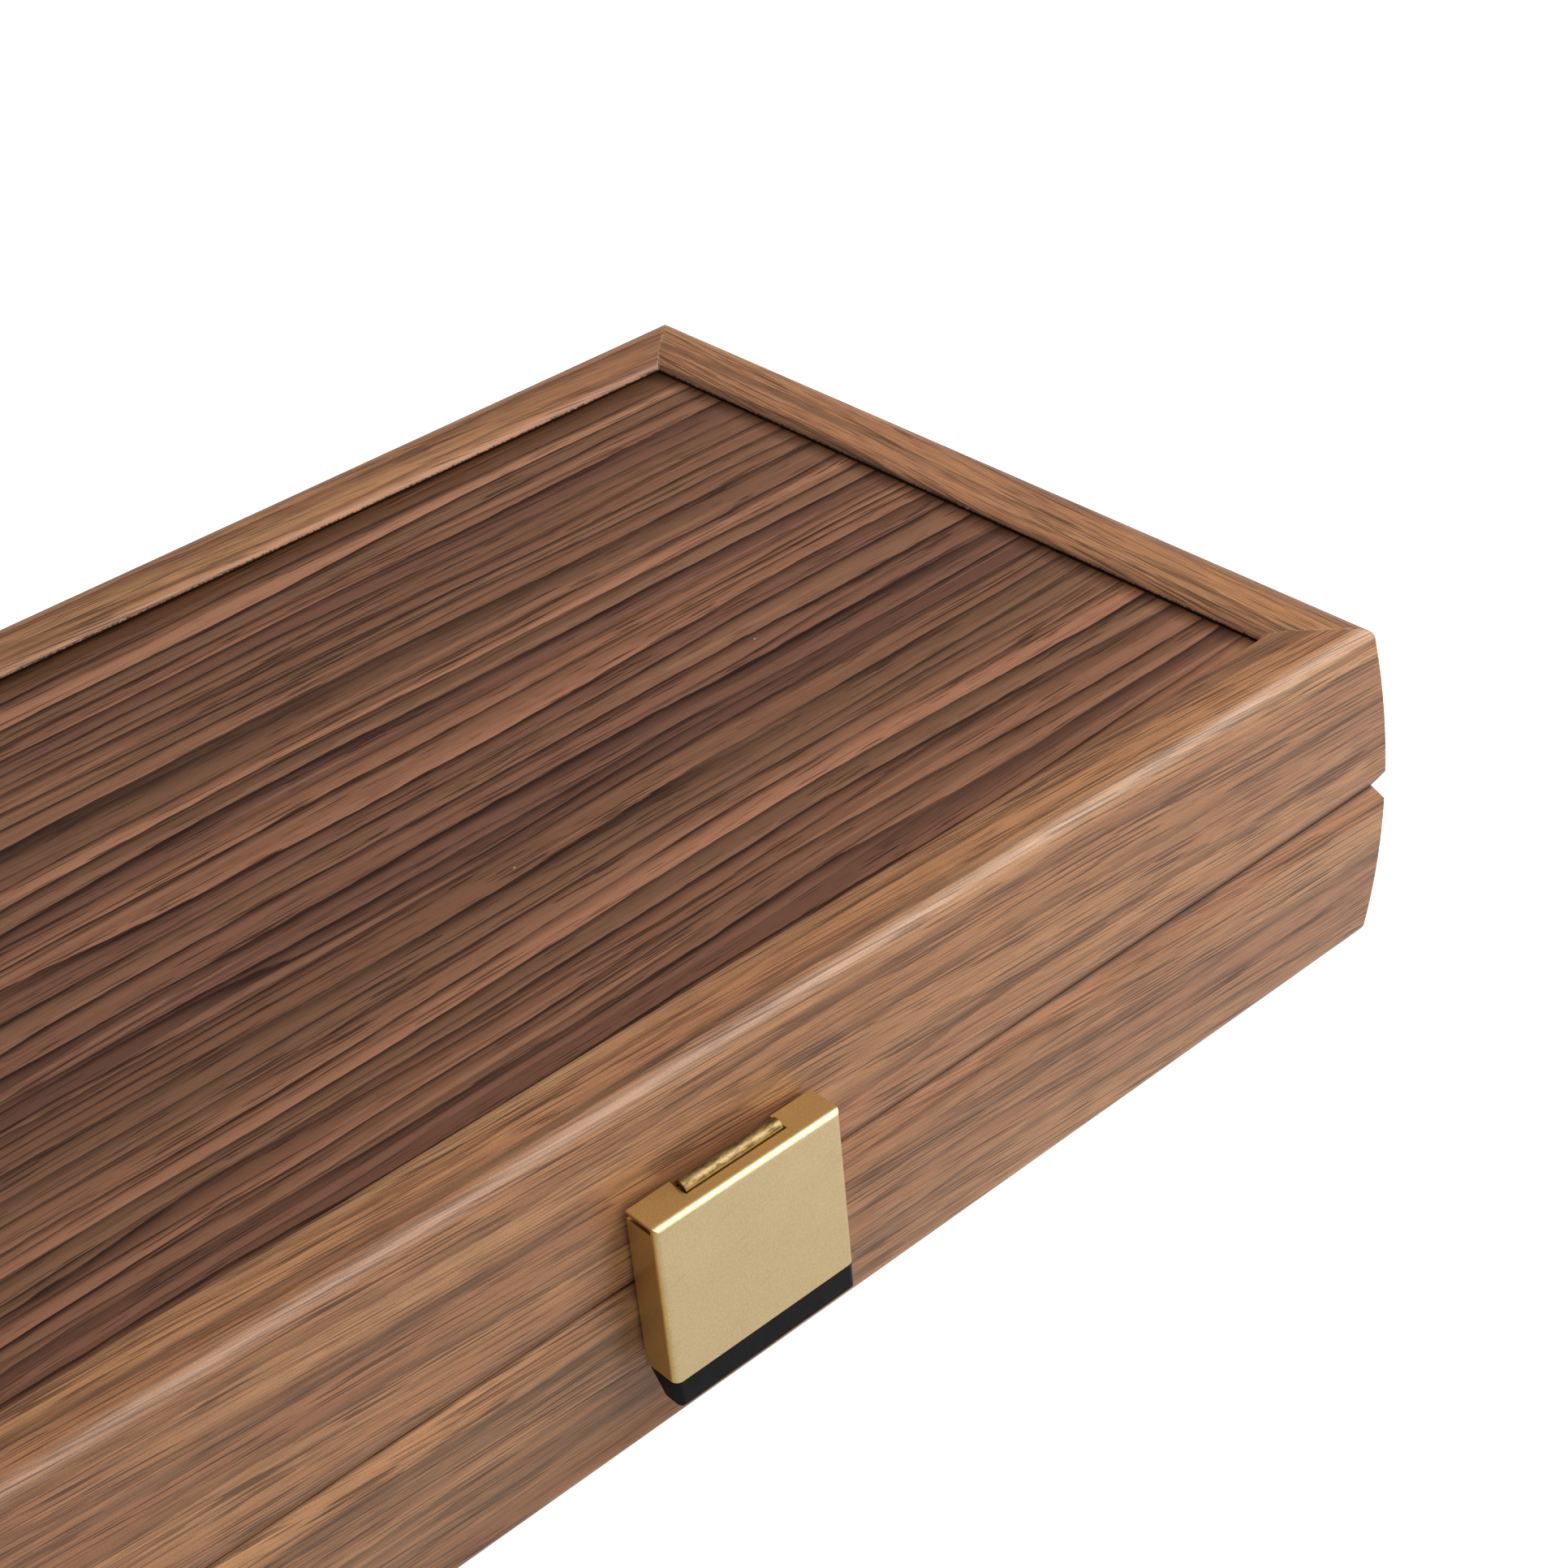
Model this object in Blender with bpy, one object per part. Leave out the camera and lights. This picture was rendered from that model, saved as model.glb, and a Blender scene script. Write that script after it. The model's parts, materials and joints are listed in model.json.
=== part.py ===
"""Folding backgammon case: two mitred trays on butt hinges, shut by a hanging magnetic clasp.

The case is modelled shut. X runs along it, -Y is the clasp's side and +Y the hinges' side.
A rail's section is drawn by how far a point lies in from the bulge of the case's side, and how
far it lies from the plane where the two trays meet.
"""

import math

import bmesh
import bpy
from mathutils import Matrix, Vector

MM = 0.001

# The shut case, over the bulge of its rails
case_length = 275.0 * MM
case_depth = 170.0 * MM
case_height = 58.0 * MM
tray_gap = 0.3 * MM

# Rail moulding
rail_width = 14.0 * MM
face_sag = 1.77 * MM
edge_radius = 1.6 * MM
lip_radius = 1.4 * MM
chamfer_depth = 1.46 * MM
chamfer_height = 2.58 * MM
mitre_gap = 0.07 * MM
face_steps = 8
edge_steps = 6
lip_steps = 4

# Panels in the rails' groove
panel_recess = 1.75 * MM
outer_thickness = 3.0 * MM
play_thickness = 3.0 * MM
groove_depth = 5.0 * MM
panel_end_gap = 0.2 * MM
panel_face_gap = 0.1 * MM

# Inlaid points of the playing field
points_per_end = 6
point_length = 97.0 * MM
point_spacing = 1.0 * MM
point_margin = 0.8 * MM
point_tip = 0.6 * MM
veneer_thickness = 0.6 * MM
veneer_gap = 0.08 * MM

# Butt hinges
hinge_spread = 150.0 * MM
hinge_length = 32.0 * MM
leaf_reach = 10.5 * MM
leaf_thickness = 1.0 * MM
leaf_corner = 1.2 * MM
barrel_radius = 2.0 * MM
bore_radius = 1.0 * MM
pin_radius = 0.92 * MM
pin_head = 0.5 * MM
axis_out = 0.25 * MM
knuckle_count = 5
knuckle_gap = 0.25 * MM
tab_inset = 0.2 * MM
leaf_clearance = 0.4 * MM
mortise_gap = 0.1 * MM
barrel_gap = 0.3 * MM
barrel_steps = 24
corner_steps = 4

# Countersunk hinge and strike screws
flat_head_radius = 1.8 * MM
flat_head_rim = 0.12 * MM
flat_head_height = 0.85 * MM
flat_shank_radius = 0.8 * MM
flat_screw_length = 9.0 * MM
hinge_screw_inset = 6.5 * MM

# Round-headed bracket screws
round_head_radius = 1.9 * MM
round_head_height = 1.1 * MM
round_shank_radius = 0.9 * MM
round_screw_length = 8.5 * MM

# What the screws share
screw_gap = 0.1 * MM
point_height = 1.8 * MM
cross_span = 2.1 * MM
cross_width = 0.5 * MM
cross_depth = 0.5 * MM
screw_steps = 20
head_steps = 4

# Clasp cover, folded from sheet brass
sheet = 0.5 * MM
cover_width = 32.2 * MM
cover_height = 27.2 * MM
cover_proud = 6.5 * MM
cover_back = 0.4 * MM
cover_top = 14.3 * MM
bend_radius = 1.2 * MM
bend_steps = 5
slit_height = 0.8 * MM

# Clasp bracket, whose tongue rolls over the strip at the cover's slot
tongue_width = 16.8 * MM
curl_radius = 1.2 * MM
curl_end_turn = 50.0
curl_out = 2.3 * MM
strip_width = 0.8 * MM
tongue_gap = 0.3 * MM
curl_steps = 16
base_width = 26.0 * MM
base_foot = 3.3 * MM
base_gap = 0.15 * MM
joggle_height = 2.0 * MM
stem_height = 2.45 * MM
bracket_screw_inset = 3.0 * MM

# Clasp block with its finger lip, and the magnet in its back
lip_height = 4.1 * MM
lip_depth = 2.2 * MM
lip_corner = 0.8 * MM
block_back = 1.3 * MM
block_gap = 0.1 * MM
block_below_base = 1.3 * MM
magnet_length = 20.0 * MM
magnet_height = 6.4 * MM
magnet_thickness = 2.8 * MM
magnet_rise = 5.0 * MM

# Strike plate on the lower rail
strike_width = 28.0 * MM
strike_height = 9.2 * MM
strike_corner = 1.0 * MM
strike_rest = 0.3 * MM
strike_seat = 0.1 * MM
strike_screw_inset = 2.5 * MM

# One overrun for every cut
overrun = 1.0 * MM

# Where things lie
half_length = case_length / 2
half_depth = case_depth / 2
mid_z = case_height / 2
tray_height = case_height / 2
front_y = (cover_proud - axis_out - barrel_radius - case_depth) / 2
back_y = front_y + case_depth
mid_y = (front_y + back_y) / 2
hinge_y = back_y + axis_out
panel_face = tray_height - panel_recess
play_face = panel_face - outer_thickness - play_thickness - 2 * panel_face_gap
groove_floor = play_face - panel_face_gap
panel_edge = rail_width - groove_depth + panel_end_gap
leaf_level = tray_gap / 2
leaf_near = barrel_radius + leaf_clearance
hinge_screw_in = (leaf_near + leaf_reach) / 2
hinge_screw_spread = hinge_length - 2 * hinge_screw_inset
cover_foot = cover_top - cover_height
curl_level = cover_top - sheet / 2
base_out = base_gap + sheet / 2
base_head = curl_level - stem_height - joggle_height
base_middle = (base_foot + base_head) / 2
bracket_screw_spread = base_width - 2 * bracket_screw_inset
block_top = base_foot - block_below_base
magnet_level = cover_foot + magnet_rise
strike_out = block_back - strike_rest
strike_thickness = strike_out - strike_seat
strike_screw_spread = strike_width - 2 * strike_screw_inset

WALNUT = ("walnut_foil", (0.36, 0.21, 0.13), 0.45, 0.0)
PANEL = ("striped_walnut", (0.22, 0.12, 0.08), 0.5, 0.0)
FIELD = ("playing_field", (0.52, 0.36, 0.22), 0.5, 0.0)
PALE = ("pale_veneer", (0.74, 0.58, 0.38), 0.5, 0.0)
DARK = ("dark_veneer", (0.16, 0.08, 0.05), 0.5, 0.0)
BRASS = ("sheet_brass", (0.72, 0.56, 0.30), 0.35, 1.0)
STEEL = ("plated_steel", (0.62, 0.60, 0.56), 0.3, 1.0)
MAGNET = ("magnet_nickel", (0.55, 0.55, 0.55), 0.3, 1.0)
PLASTIC = ("black_plastic", (0.02, 0.02, 0.022), 0.3, 0.0)


def clear_scene():
    """Removes whatever the scene holds."""
    for thing in list(bpy.data.objects):
        bpy.data.objects.remove(thing, do_unlink=True)


def material(kind):
    """The material of a kind, made once."""
    name, colour, roughness, metallic = kind
    found = bpy.data.materials.get(name)
    if found:
        return found
    made = bpy.data.materials.new(name)
    made.use_nodes = True
    shader = made.node_tree.nodes["Principled BSDF"]
    shader.inputs["Base Color"].default_value = (*colour, 1.0)
    shader.inputs["Roughness"].default_value = roughness
    shader.inputs["Metallic"].default_value = metallic
    made.diffuse_color = (*colour, 1.0)
    return made


def at(x, y, z, turn=0.0, axis="Z"):
    """A place, turned by some degrees about an axis through it."""
    return Matrix.Translation((x, y, z)) @ Matrix.Rotation(math.radians(turn), 4, axis)


def new_object(name, bm, place):
    """An object from a bmesh, with its faces pointing out."""
    bmesh.ops.recalc_face_normals(bm, faces=bm.faces)
    mesh = bpy.data.meshes.new(name)
    bm.to_mesh(mesh)
    bm.free()
    made = bpy.data.objects.new(name, mesh)
    bpy.context.collection.objects.link(made)
    made.matrix_world = place
    return made


def piece(name, bm, kind, place, parent):
    """A piece of the case, round faces shaded smooth, carried by its parent."""
    made = new_object(name, bm, place)
    return finish_piece(made, kind, parent)


def finish_piece(made, kind, parent):
    """Gives an object its material, its shading and its parent."""
    if not made.data.materials:
        made.data.materials.append(material(kind))
    made.data.shade_smooth()
    made.data.set_sharp_from_angle(angle=math.radians(30.0))
    bpy.context.view_layer.update()
    place = made.matrix_world.copy()
    made.parent = parent
    made.matrix_parent_inverse = parent.matrix_world.inverted()
    made.matrix_world = place
    return made


def cutter(name, bm, place=None):
    """A guide that only shapes other objects."""
    made = new_object(name, bm, place or Matrix())
    made.hide_render = True
    made.display_type = "WIRE"
    return made


def combine(target, operation, tool):
    """Adds a Boolean modifier to the target."""
    change = target.modifiers.new(tool.name, "BOOLEAN")
    change.operation = operation
    change.object = tool
    change.solver = "EXACT"


def cut(target, tool):
    combine(target, "DIFFERENCE", tool)


def pivot(name, place, parent=None):
    """An empty on a joint's axis."""
    made = bpy.data.objects.new(name, None)
    bpy.context.collection.objects.link(made)
    made.parent = parent
    if parent:
        made.matrix_parent_inverse = parent.matrix_world.inverted()
    made.matrix_world = place
    bpy.context.view_layer.update()
    return made


def spot(along, level, u, v):
    """A point at a level along one axis, with the other two coordinates in their order."""
    return {"X": (level, u, v), "Y": (u, level, v), "Z": (u, v, level)}[along]


def bridge(bm, first, second):
    """Walls between two loops of the same length."""
    count = len(first)
    for i in range(count):
        j = (i + 1) % count
        bm.faces.new((first[i], first[j], second[j], second[i]))


def add_prism(bm, outline, along, low, high):
    """An outline drawn out along an axis."""
    lower = [bm.verts.new(spot(along, low, u, v)) for u, v in outline]
    upper = [bm.verts.new(spot(along, high, u, v)) for u, v in outline]
    bm.faces.new(lower)
    bm.faces.new(upper)
    bridge(bm, lower, upper)


def prism(outline, along, low, high):
    bm = bmesh.new()
    add_prism(bm, outline, along, low, high)
    return bm


def add_tube(bm, outer, inner, along, low, high):
    """A tube between two outlines of as many points, drawn out along an axis."""
    loops = []
    for outline, level in ((outer, low), (outer, high), (inner, high), (inner, low)):
        loops.append([bm.verts.new(spot(along, level, u, v)) for u, v in outline])
    for first, second in zip(loops, loops[1:] + loops[:1]):
        bridge(bm, first, second)


def add_box(bm, x, y, z):
    """A box between pairs of limits."""
    outline = [(x[0], y[0]), (x[1], y[0]), (x[1], y[1]), (x[0], y[1])]
    add_prism(bm, outline, "Z", z[0], z[1])


def add_turned(bm, profile, steps, place=None):
    """A profile of radius and height turned about Z, from its top centre to its bottom centre."""
    move = place or Matrix()
    top = bm.verts.new(move @ Vector((0, 0, profile[0][1])))
    bottom = bm.verts.new(move @ Vector((0, 0, profile[-1][1])))
    rings = []
    for radius, height in profile[1:-1]:
        ring = []
        for i in range(steps):
            turn = 2 * math.pi * i / steps
            point = Vector((radius * math.cos(turn), radius * math.sin(turn), height))
            ring.append(bm.verts.new(move @ point))
        rings.append(ring)
    for i in range(steps):
        j = (i + 1) % steps
        bm.faces.new((top, rings[0][i], rings[0][j]))
        bm.faces.new((bottom, rings[-1][j], rings[-1][i]))
    for first, second in zip(rings, rings[1:]):
        bridge(bm, first, second)


def turned(profile, steps):
    bm = bmesh.new()
    add_turned(bm, profile, steps)
    return bm


def arc(centre, radius, start, end, steps):
    """Points along an arc, from one angle in degrees to another."""
    points = []
    for i in range(steps + 1):
        turn = math.radians(start + (end - start) * i / steps)
        points.append((centre[0] + radius * math.cos(turn), centre[1] + radius * math.sin(turn)))
    return points


def rounded(low_u, high_u, low_v, high_v, radius, steps):
    """A rectangle with round corners, from its low corner on."""
    corners = [
        ((low_u + radius, low_v + radius), 180.0),
        ((high_u - radius, low_v + radius), 270.0),
        ((high_u - radius, high_v - radius), 0.0),
        ((low_u + radius, high_v - radius), 90.0),
    ]
    points = []
    for centre, start in corners:
        points += arc(centre, radius, start, start + 90.0, steps)
    return points


def bulge(height):
    """How far the outer face lies in, at a height from the meeting plane."""
    return face_sag * (height / tray_height) ** 2


def rail_section():
    """The moulding's outline, as distance in from the bulge and height from the meeting plane."""
    lean = math.atan(2 * face_sag / tray_height)
    face_top = tray_height - edge_radius * (1 - math.sin(lean))
    points = [(chamfer_depth, tray_gap / 2)]
    for i in range(face_steps + 1):
        height = chamfer_height + (face_top - chamfer_height) * i / face_steps
        points.append((bulge(height), height))
    edge_in = bulge(face_top) + edge_radius * math.cos(lean)
    edge_centre = (edge_in, tray_height - edge_radius)
    edge = arc(edge_centre, edge_radius, 180.0 - math.degrees(lean), 90.0, edge_steps)
    points += edge[1:]
    lip = (rail_width - lip_radius, tray_height - lip_radius)
    points += arc(lip, lip_radius, 90.0, 0.0, lip_steps)
    groove_in = rail_width - groove_depth
    points += [(rail_width, panel_face), (groove_in, panel_face)]
    points += [(groove_in, groove_floor), (rail_width, groove_floor), (rail_width, tray_gap / 2)]
    return points


def rail(name, half, place, parent):
    """A rail along its own X, mitred at both ends, with +Y into the tray."""
    bm = bmesh.new()
    loops = []
    for side in (-1, 1):
        loops.append([bm.verts.new((side * (half - d - mitre_gap), d, h)) for d, h in rail_section()])
    bm.faces.new(loops[0])
    bm.faces.new(loops[1])
    bridge(bm, loops[0], loops[1])
    return piece(name, bm, WALNUT, place, parent)


def frame(tray, flip, parent):
    """The four rails of a tray. A flip of 180 degrees turns the section over."""
    over = Matrix.Rotation(math.radians(flip), 4, "Y")
    rails = {}
    spots = {
        "front": (half_length, at(0, front_y, mid_z)),
        "right": (half_depth, at(half_length, mid_y, mid_z, 90.0)),
        "back": (half_length, at(0, back_y, mid_z, 180.0)),
        "left": (half_depth, at(-half_length, mid_y, mid_z, -90.0)),
    }
    for side, (half, place) in spots.items():
        rails[side] = rail(f"{tray}_{side}_rail", half, place @ over, parent)
    return rails


def plate(name, face, thickness, kind, up, parent):
    """A panel whose outward face lies at a height from the meeting plane."""
    half_x = half_length - panel_edge
    half_y = half_depth - panel_edge
    middle = face - thickness / 2
    bm = bmesh.new()
    add_box(bm, (-half_x, half_x), (-half_y, half_y), (-thickness / 2, thickness / 2))
    return piece(name, bm, kind, at(0, mid_y, mid_z + up * middle), parent)


def point_outline(end, middle, grow):
    """A point of the field, with its base at one short end, grown all round by a clearance."""
    base = half_length - rail_width - point_margin
    pitch = (case_depth - 2 * rail_width) / points_per_end
    wide = (pitch - point_spacing) / 2
    narrow = point_tip / 2
    slope = (wide - narrow) / point_length
    swell = grow * math.sqrt(1 + slope * slope)
    wide_half = wide + slope * grow + swell
    narrow_half = narrow - slope * grow + swell
    outer = end * (base + grow)
    inner = end * (base - point_length - grow)
    return [
        (outer, middle - wide_half),
        (outer, middle + wide_half),
        (inner, middle + narrow_half),
        (inner, middle - narrow_half),
    ]


def playing_field(tray, up, parent):
    """A tray's field with its inlaid points, dark and pale in turn."""
    field = plate(f"{tray}_play_panel", play_face + play_thickness, play_thickness, FIELD, up, parent)
    pockets = bmesh.new()
    pitch = (case_depth - 2 * rail_width) / points_per_end
    shallow = play_face
    deep = play_face + veneer_thickness
    for end, word in ((-1, "left"), (1, "right")):
        for i in range(points_per_end):
            middle = pitch * (i - (points_per_end - 1) / 2)
            levels = sorted((up * (shallow - overrun), up * (deep + veneer_gap)))
            add_prism(pockets, point_outline(end, middle, veneer_gap), "Z", *levels)
            kind = (DARK, PALE)[(i + (end > 0) + (up > 0)) % 2]
            levels = sorted((up * shallow, up * deep))
            veneer = prism(point_outline(end, middle, 0), "Z", *levels)
            piece(f"{tray}_point_{word}_{i + 1}", veneer, kind, at(0, mid_y, mid_z), parent)
    cut(field, cutter(f"{tray}_point_pockets", pockets, at(0, mid_y, mid_z)))


def cross_outline():
    """The cross recess of a screw head."""
    far = cross_span / 2
    near = cross_width / 2
    points = []
    for turn in range(4):
        for u, v in ((far, -near), (far, near), (near, near)):
            points.append(((u, v), (-v, u), (-u, -v), (v, -u))[turn])
    return points


def screw_mesh(name, profile, head_top):
    """A screw pointing down its own -Z, with a cross recess cut into its head."""
    body = new_object(name, turned(profile, screw_steps), Matrix())
    low = head_top - cross_depth
    cross = cutter(f"{name}_cross", prism(cross_outline(), "Z", low, head_top + overrun))
    cut(body, cross)
    bpy.context.view_layer.update()
    seen = body.evaluated_get(bpy.context.evaluated_depsgraph_get())
    mesh = bpy.data.meshes.new_from_object(seen)
    mesh.name = name
    for spare in (body, cross):
        bpy.data.objects.remove(spare, do_unlink=True)
    return mesh


def flat_profile(grow):
    """A countersunk screw, its head flush with 0, grown by a clearance for its hole."""
    head = flat_head_radius + grow
    shank = flat_shank_radius + grow
    tip = -flat_screw_length - grow
    top = overrun if grow else 0
    rim = flat_head_rim
    profile = [(0, top), (head, top), (head, -rim), (shank, -flat_head_height)]
    return profile + [(shank, tip + point_height), (0, tip)]


def round_profile():
    """A round-headed screw, with the underside of its head at 0."""
    dome = arc((0, 0), 1.0, 90.0, 0.0, head_steps)
    head = [(round_head_radius * u, round_head_height * v) for u, v in dome[1:]]
    tip = -round_screw_length
    shank = round_shank_radius
    return [(0, round_head_height)] + head + [(shank, 0), (shank, tip + point_height), (0, tip)]


def round_hole_profile():
    """The hole for a round-headed screw's shank."""
    shank = round_shank_radius + screw_gap
    tip = -round_screw_length - screw_gap
    return [(0, overrun), (shank, overrun), (shank, tip + point_height), (0, tip)]


def place_screws(mesh, hole, spots, targets, parent):
    """Screws of one mesh at named places, each with its hole cut in every target."""
    bm = bmesh.new()
    for place in spots.values():
        add_turned(bm, hole, screw_steps, place)
    holes = cutter(f"{next(iter(spots))}_hole", bm)
    for target in targets:
        cut(target, holes)
    for name, place in spots.items():
        made = bpy.data.objects.new(name, mesh)
        bpy.context.collection.objects.link(made)
        made.matrix_world = place
        finish_piece(made, STEEL, parent)


def knuckle_spans(own):
    """The stretches along the pin of every second knuckle, from the first or the second on."""
    pitch = hinge_length / knuckle_count
    spans = []
    for i in range(own, knuckle_count, 2):
        start = -hinge_length / 2 + i * pitch
        spans.append((start + knuckle_gap / 2, start + pitch - knuckle_gap / 2))
    return spans


def leaf_outline(spans):
    """A leaf seen along Z: its plate, and a tab at each of its knuckles."""
    half = hinge_length / 2
    near = -leaf_near
    tab = -(barrel_radius + bore_radius) / 2 + tab_inset
    corner = (half - leaf_corner, -leaf_reach + leaf_corner)
    points = arc((-corner[0], corner[1]), leaf_corner, 180.0, 270.0, corner_steps)
    points += arc(corner, leaf_corner, 270.0, 360.0, corner_steps)
    points.append((half, near))
    for low, high in reversed(spans):
        points += [(high - tab_inset, near), (high - tab_inset, tab)]
        points += [(low + tab_inset, tab), (low + tab_inset, near)]
    points.append((-half, near))
    return points


def circle(radius):
    """A circle with a corner on each axis, for a round bar along X."""
    return arc((0, 0), radius, 0.0, 360.0 - 360.0 / barrel_steps, barrel_steps - 1)


def hinge(side, x, rails, parents, screw):
    """A butt hinge: two leaves in the back rails, with interleaved knuckles on one pin."""
    centre = at(x, hinge_y, mid_z)
    for tray, up, own in (("lower", -1, 0), ("upper", 1, 1)):
        spans = knuckle_spans(own)
        levels = sorted((up * leaf_level, up * (leaf_level + leaf_thickness)))
        bm = prism(leaf_outline(spans), "Z", *levels)
        leaf = piece(f"hinge_{side}_{tray}_leaf", bm, BRASS, centre, parents[tray])
        knuckles = bmesh.new()
        for low, high in spans:
            add_tube(knuckles, circle(barrel_radius), circle(bore_radius), "X", low, high)
        combine(leaf, "UNION", cutter(f"hinge_{side}_{tray}_knuckles", knuckles, centre))
        cut_mortise(f"hinge_{side}_{tray}_mortise", up, centre, rails[tray]["back"])
        spots = {}
        for i, way in enumerate((-1, 1)):
            name = f"hinge_{side}_{tray}_screw_{i + 1}"
            place = at(x + way * hinge_screw_spread / 2, hinge_y - hinge_screw_in, mid_z + up * leaf_level)
            flip = Matrix.Rotation(math.pi if up > 0 else 0, 4, "X")
            spots[name] = place @ flip
        place_screws(screw, flat_profile(screw_gap), spots, (leaf, rails[tray]["back"]), parents[tray])
    half = hinge_length / 2
    head = pin_head
    profile = [(0, half + head), (pin_radius / 2, half + head), (pin_radius, half + head / 2)]
    profile += [(radius, -height) for radius, height in reversed(profile)]
    along = Matrix.Rotation(math.radians(90.0), 4, "Y")
    piece(f"hinge_{side}_pin", turned(profile, barrel_steps), STEEL, centre @ along, parents["lower"])


def cut_mortise(name, up, centre, back_rail):
    """Makes room in a back rail for a leaf, and for the barrel."""
    half = hinge_length / 2 + mortise_gap
    far = -leaf_reach - mortise_gap
    deep = leaf_level + leaf_thickness + mortise_gap
    bm = bmesh.new()
    add_box(bm, (-half, half), (far, overrun), sorted((-up * overrun, up * deep)))
    cut(back_rail, cutter(name, bm, centre))
    half = hinge_length / 2 + barrel_gap + pin_head
    barrel = prism(circle(barrel_radius + barrel_gap), "X", -half, half)
    cut(back_rail, cutter(f"{name}_barrel", barrel, centre))


def ribbon(line, thickness):
    """The outline of a bent sheet, from the line along its middle."""
    left, right = [], []
    steps = [Vector(b) - Vector(a) for a, b in zip(line, line[1:])]
    for point, before, after in zip(line, steps[:1] + steps, steps + steps[-1:]):
        middle = before.normalized() + after.normalized()
        side = Vector((-middle.y, middle.x)).normalized()
        across = Vector((-after.y, after.x)).normalized()
        side *= thickness / 2 / side.dot(across)
        left.append(Vector(point) + side)
        right.append(Vector(point) - side)
    return left + right[::-1]


def clasp_bracket(place, rails, parent, screw):
    """A base plate on the upper rail, its tongue stepped out and rolled forward and down."""
    middle_radius = curl_radius - sheet / 2
    stem = -(curl_out - middle_radius)
    curl = arc((-curl_out, curl_level), middle_radius, 0.0, 180.0 + curl_end_turn, curl_steps)
    line = [(-base_out, base_middle), (-base_out, base_head), (stem, base_head + joggle_height)]
    tongue = prism(ribbon(line + curl, sheet), "X", -tongue_width / 2, tongue_width / 2)
    bracket = piece("clasp_bracket", tongue, BRASS, place, parent)
    half = base_width / 2
    outline = rounded(-half, half, base_foot, base_head, strike_corner, corner_steps)
    base = prism(outline, "Y", -base_out - sheet / 2, -base_out + sheet / 2)
    combine(bracket, "UNION", cutter("clasp_bracket_base", base, place))
    spots = {}
    for i, way in enumerate((-1, 1)):
        across = way * bracket_screw_spread / 2
        screw_place = place @ at(across, -base_out - sheet / 2 - screw_gap, base_middle, 90.0, "X")
        spots[f"clasp_bracket_screw_{i + 1}"] = screw_place
    place_screws(screw, round_hole_profile(), spots, (bracket, rails["upper"]["front"]), parent)


def cover_shape(grow, low):
    """A plan and a side view of the cover, lying in from its outside by grow."""
    half = cover_width / 2 - grow
    front = -cover_proud + grow
    back = -cover_back + (overrun if grow else 0)
    top = cover_top - grow
    radius = bend_radius - grow
    plan = arc((-half + radius, front + radius), radius, 180.0, 270.0, bend_steps)
    plan += arc((half - radius, front + radius), radius, 270.0, 360.0, bend_steps)
    plan += [(half, back), (-half, back)]
    side = arc((front + radius, top - radius), radius, 180.0, 90.0, bend_steps)
    side += [(back + overrun, top), (back + overrun, low), (front, low)]
    solid = prism(plan, "Z", low - overrun, top + overrun)
    profile = prism(side, "X", -half - overrun, half + overrun)
    return solid, profile


def clasp_cover(place, parent):
    """Sheet brass folded back at the top and at both sides, with a slot for the tongue."""
    solid, profile = cover_shape(0, cover_foot)
    cover = piece("clasp_cover", solid, BRASS, place, parent)
    combine(cover, "INTERSECT", cutter("cover_profile", profile, place))
    solid, profile = cover_shape(sheet, cover_foot - overrun)
    hollow = cutter("cover_hollow", solid, place)
    combine(hollow, "INTERSECT", cutter("cover_hollow_profile", profile, place))
    cut(cover, hollow)
    gaps = bmesh.new()
    under = cover_top - sheet
    side_in = cover_width / 2 - sheet - slit_height / 2
    side_out = cover_width / 2 + overrun
    for way in (-1, 1):
        x = sorted((way * side_in, way * side_out))
        add_box(gaps, x, (-cover_proud + bend_radius, -cover_back + overrun), (under - slit_height, under))
    half = tongue_width / 2 + tongue_gap
    through = (under - overrun / 2, cover_top + overrun)
    slot_front = -curl_out - curl_radius - tongue_gap
    add_box(gaps, (-half, half), (slot_front, -curl_out - strip_width / 2), through)
    add_box(gaps, (-half, half), (-curl_out + strip_width / 2, -cover_back + overrun), through)
    cut(cover, cutter("cover_gaps", gaps, place))


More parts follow.
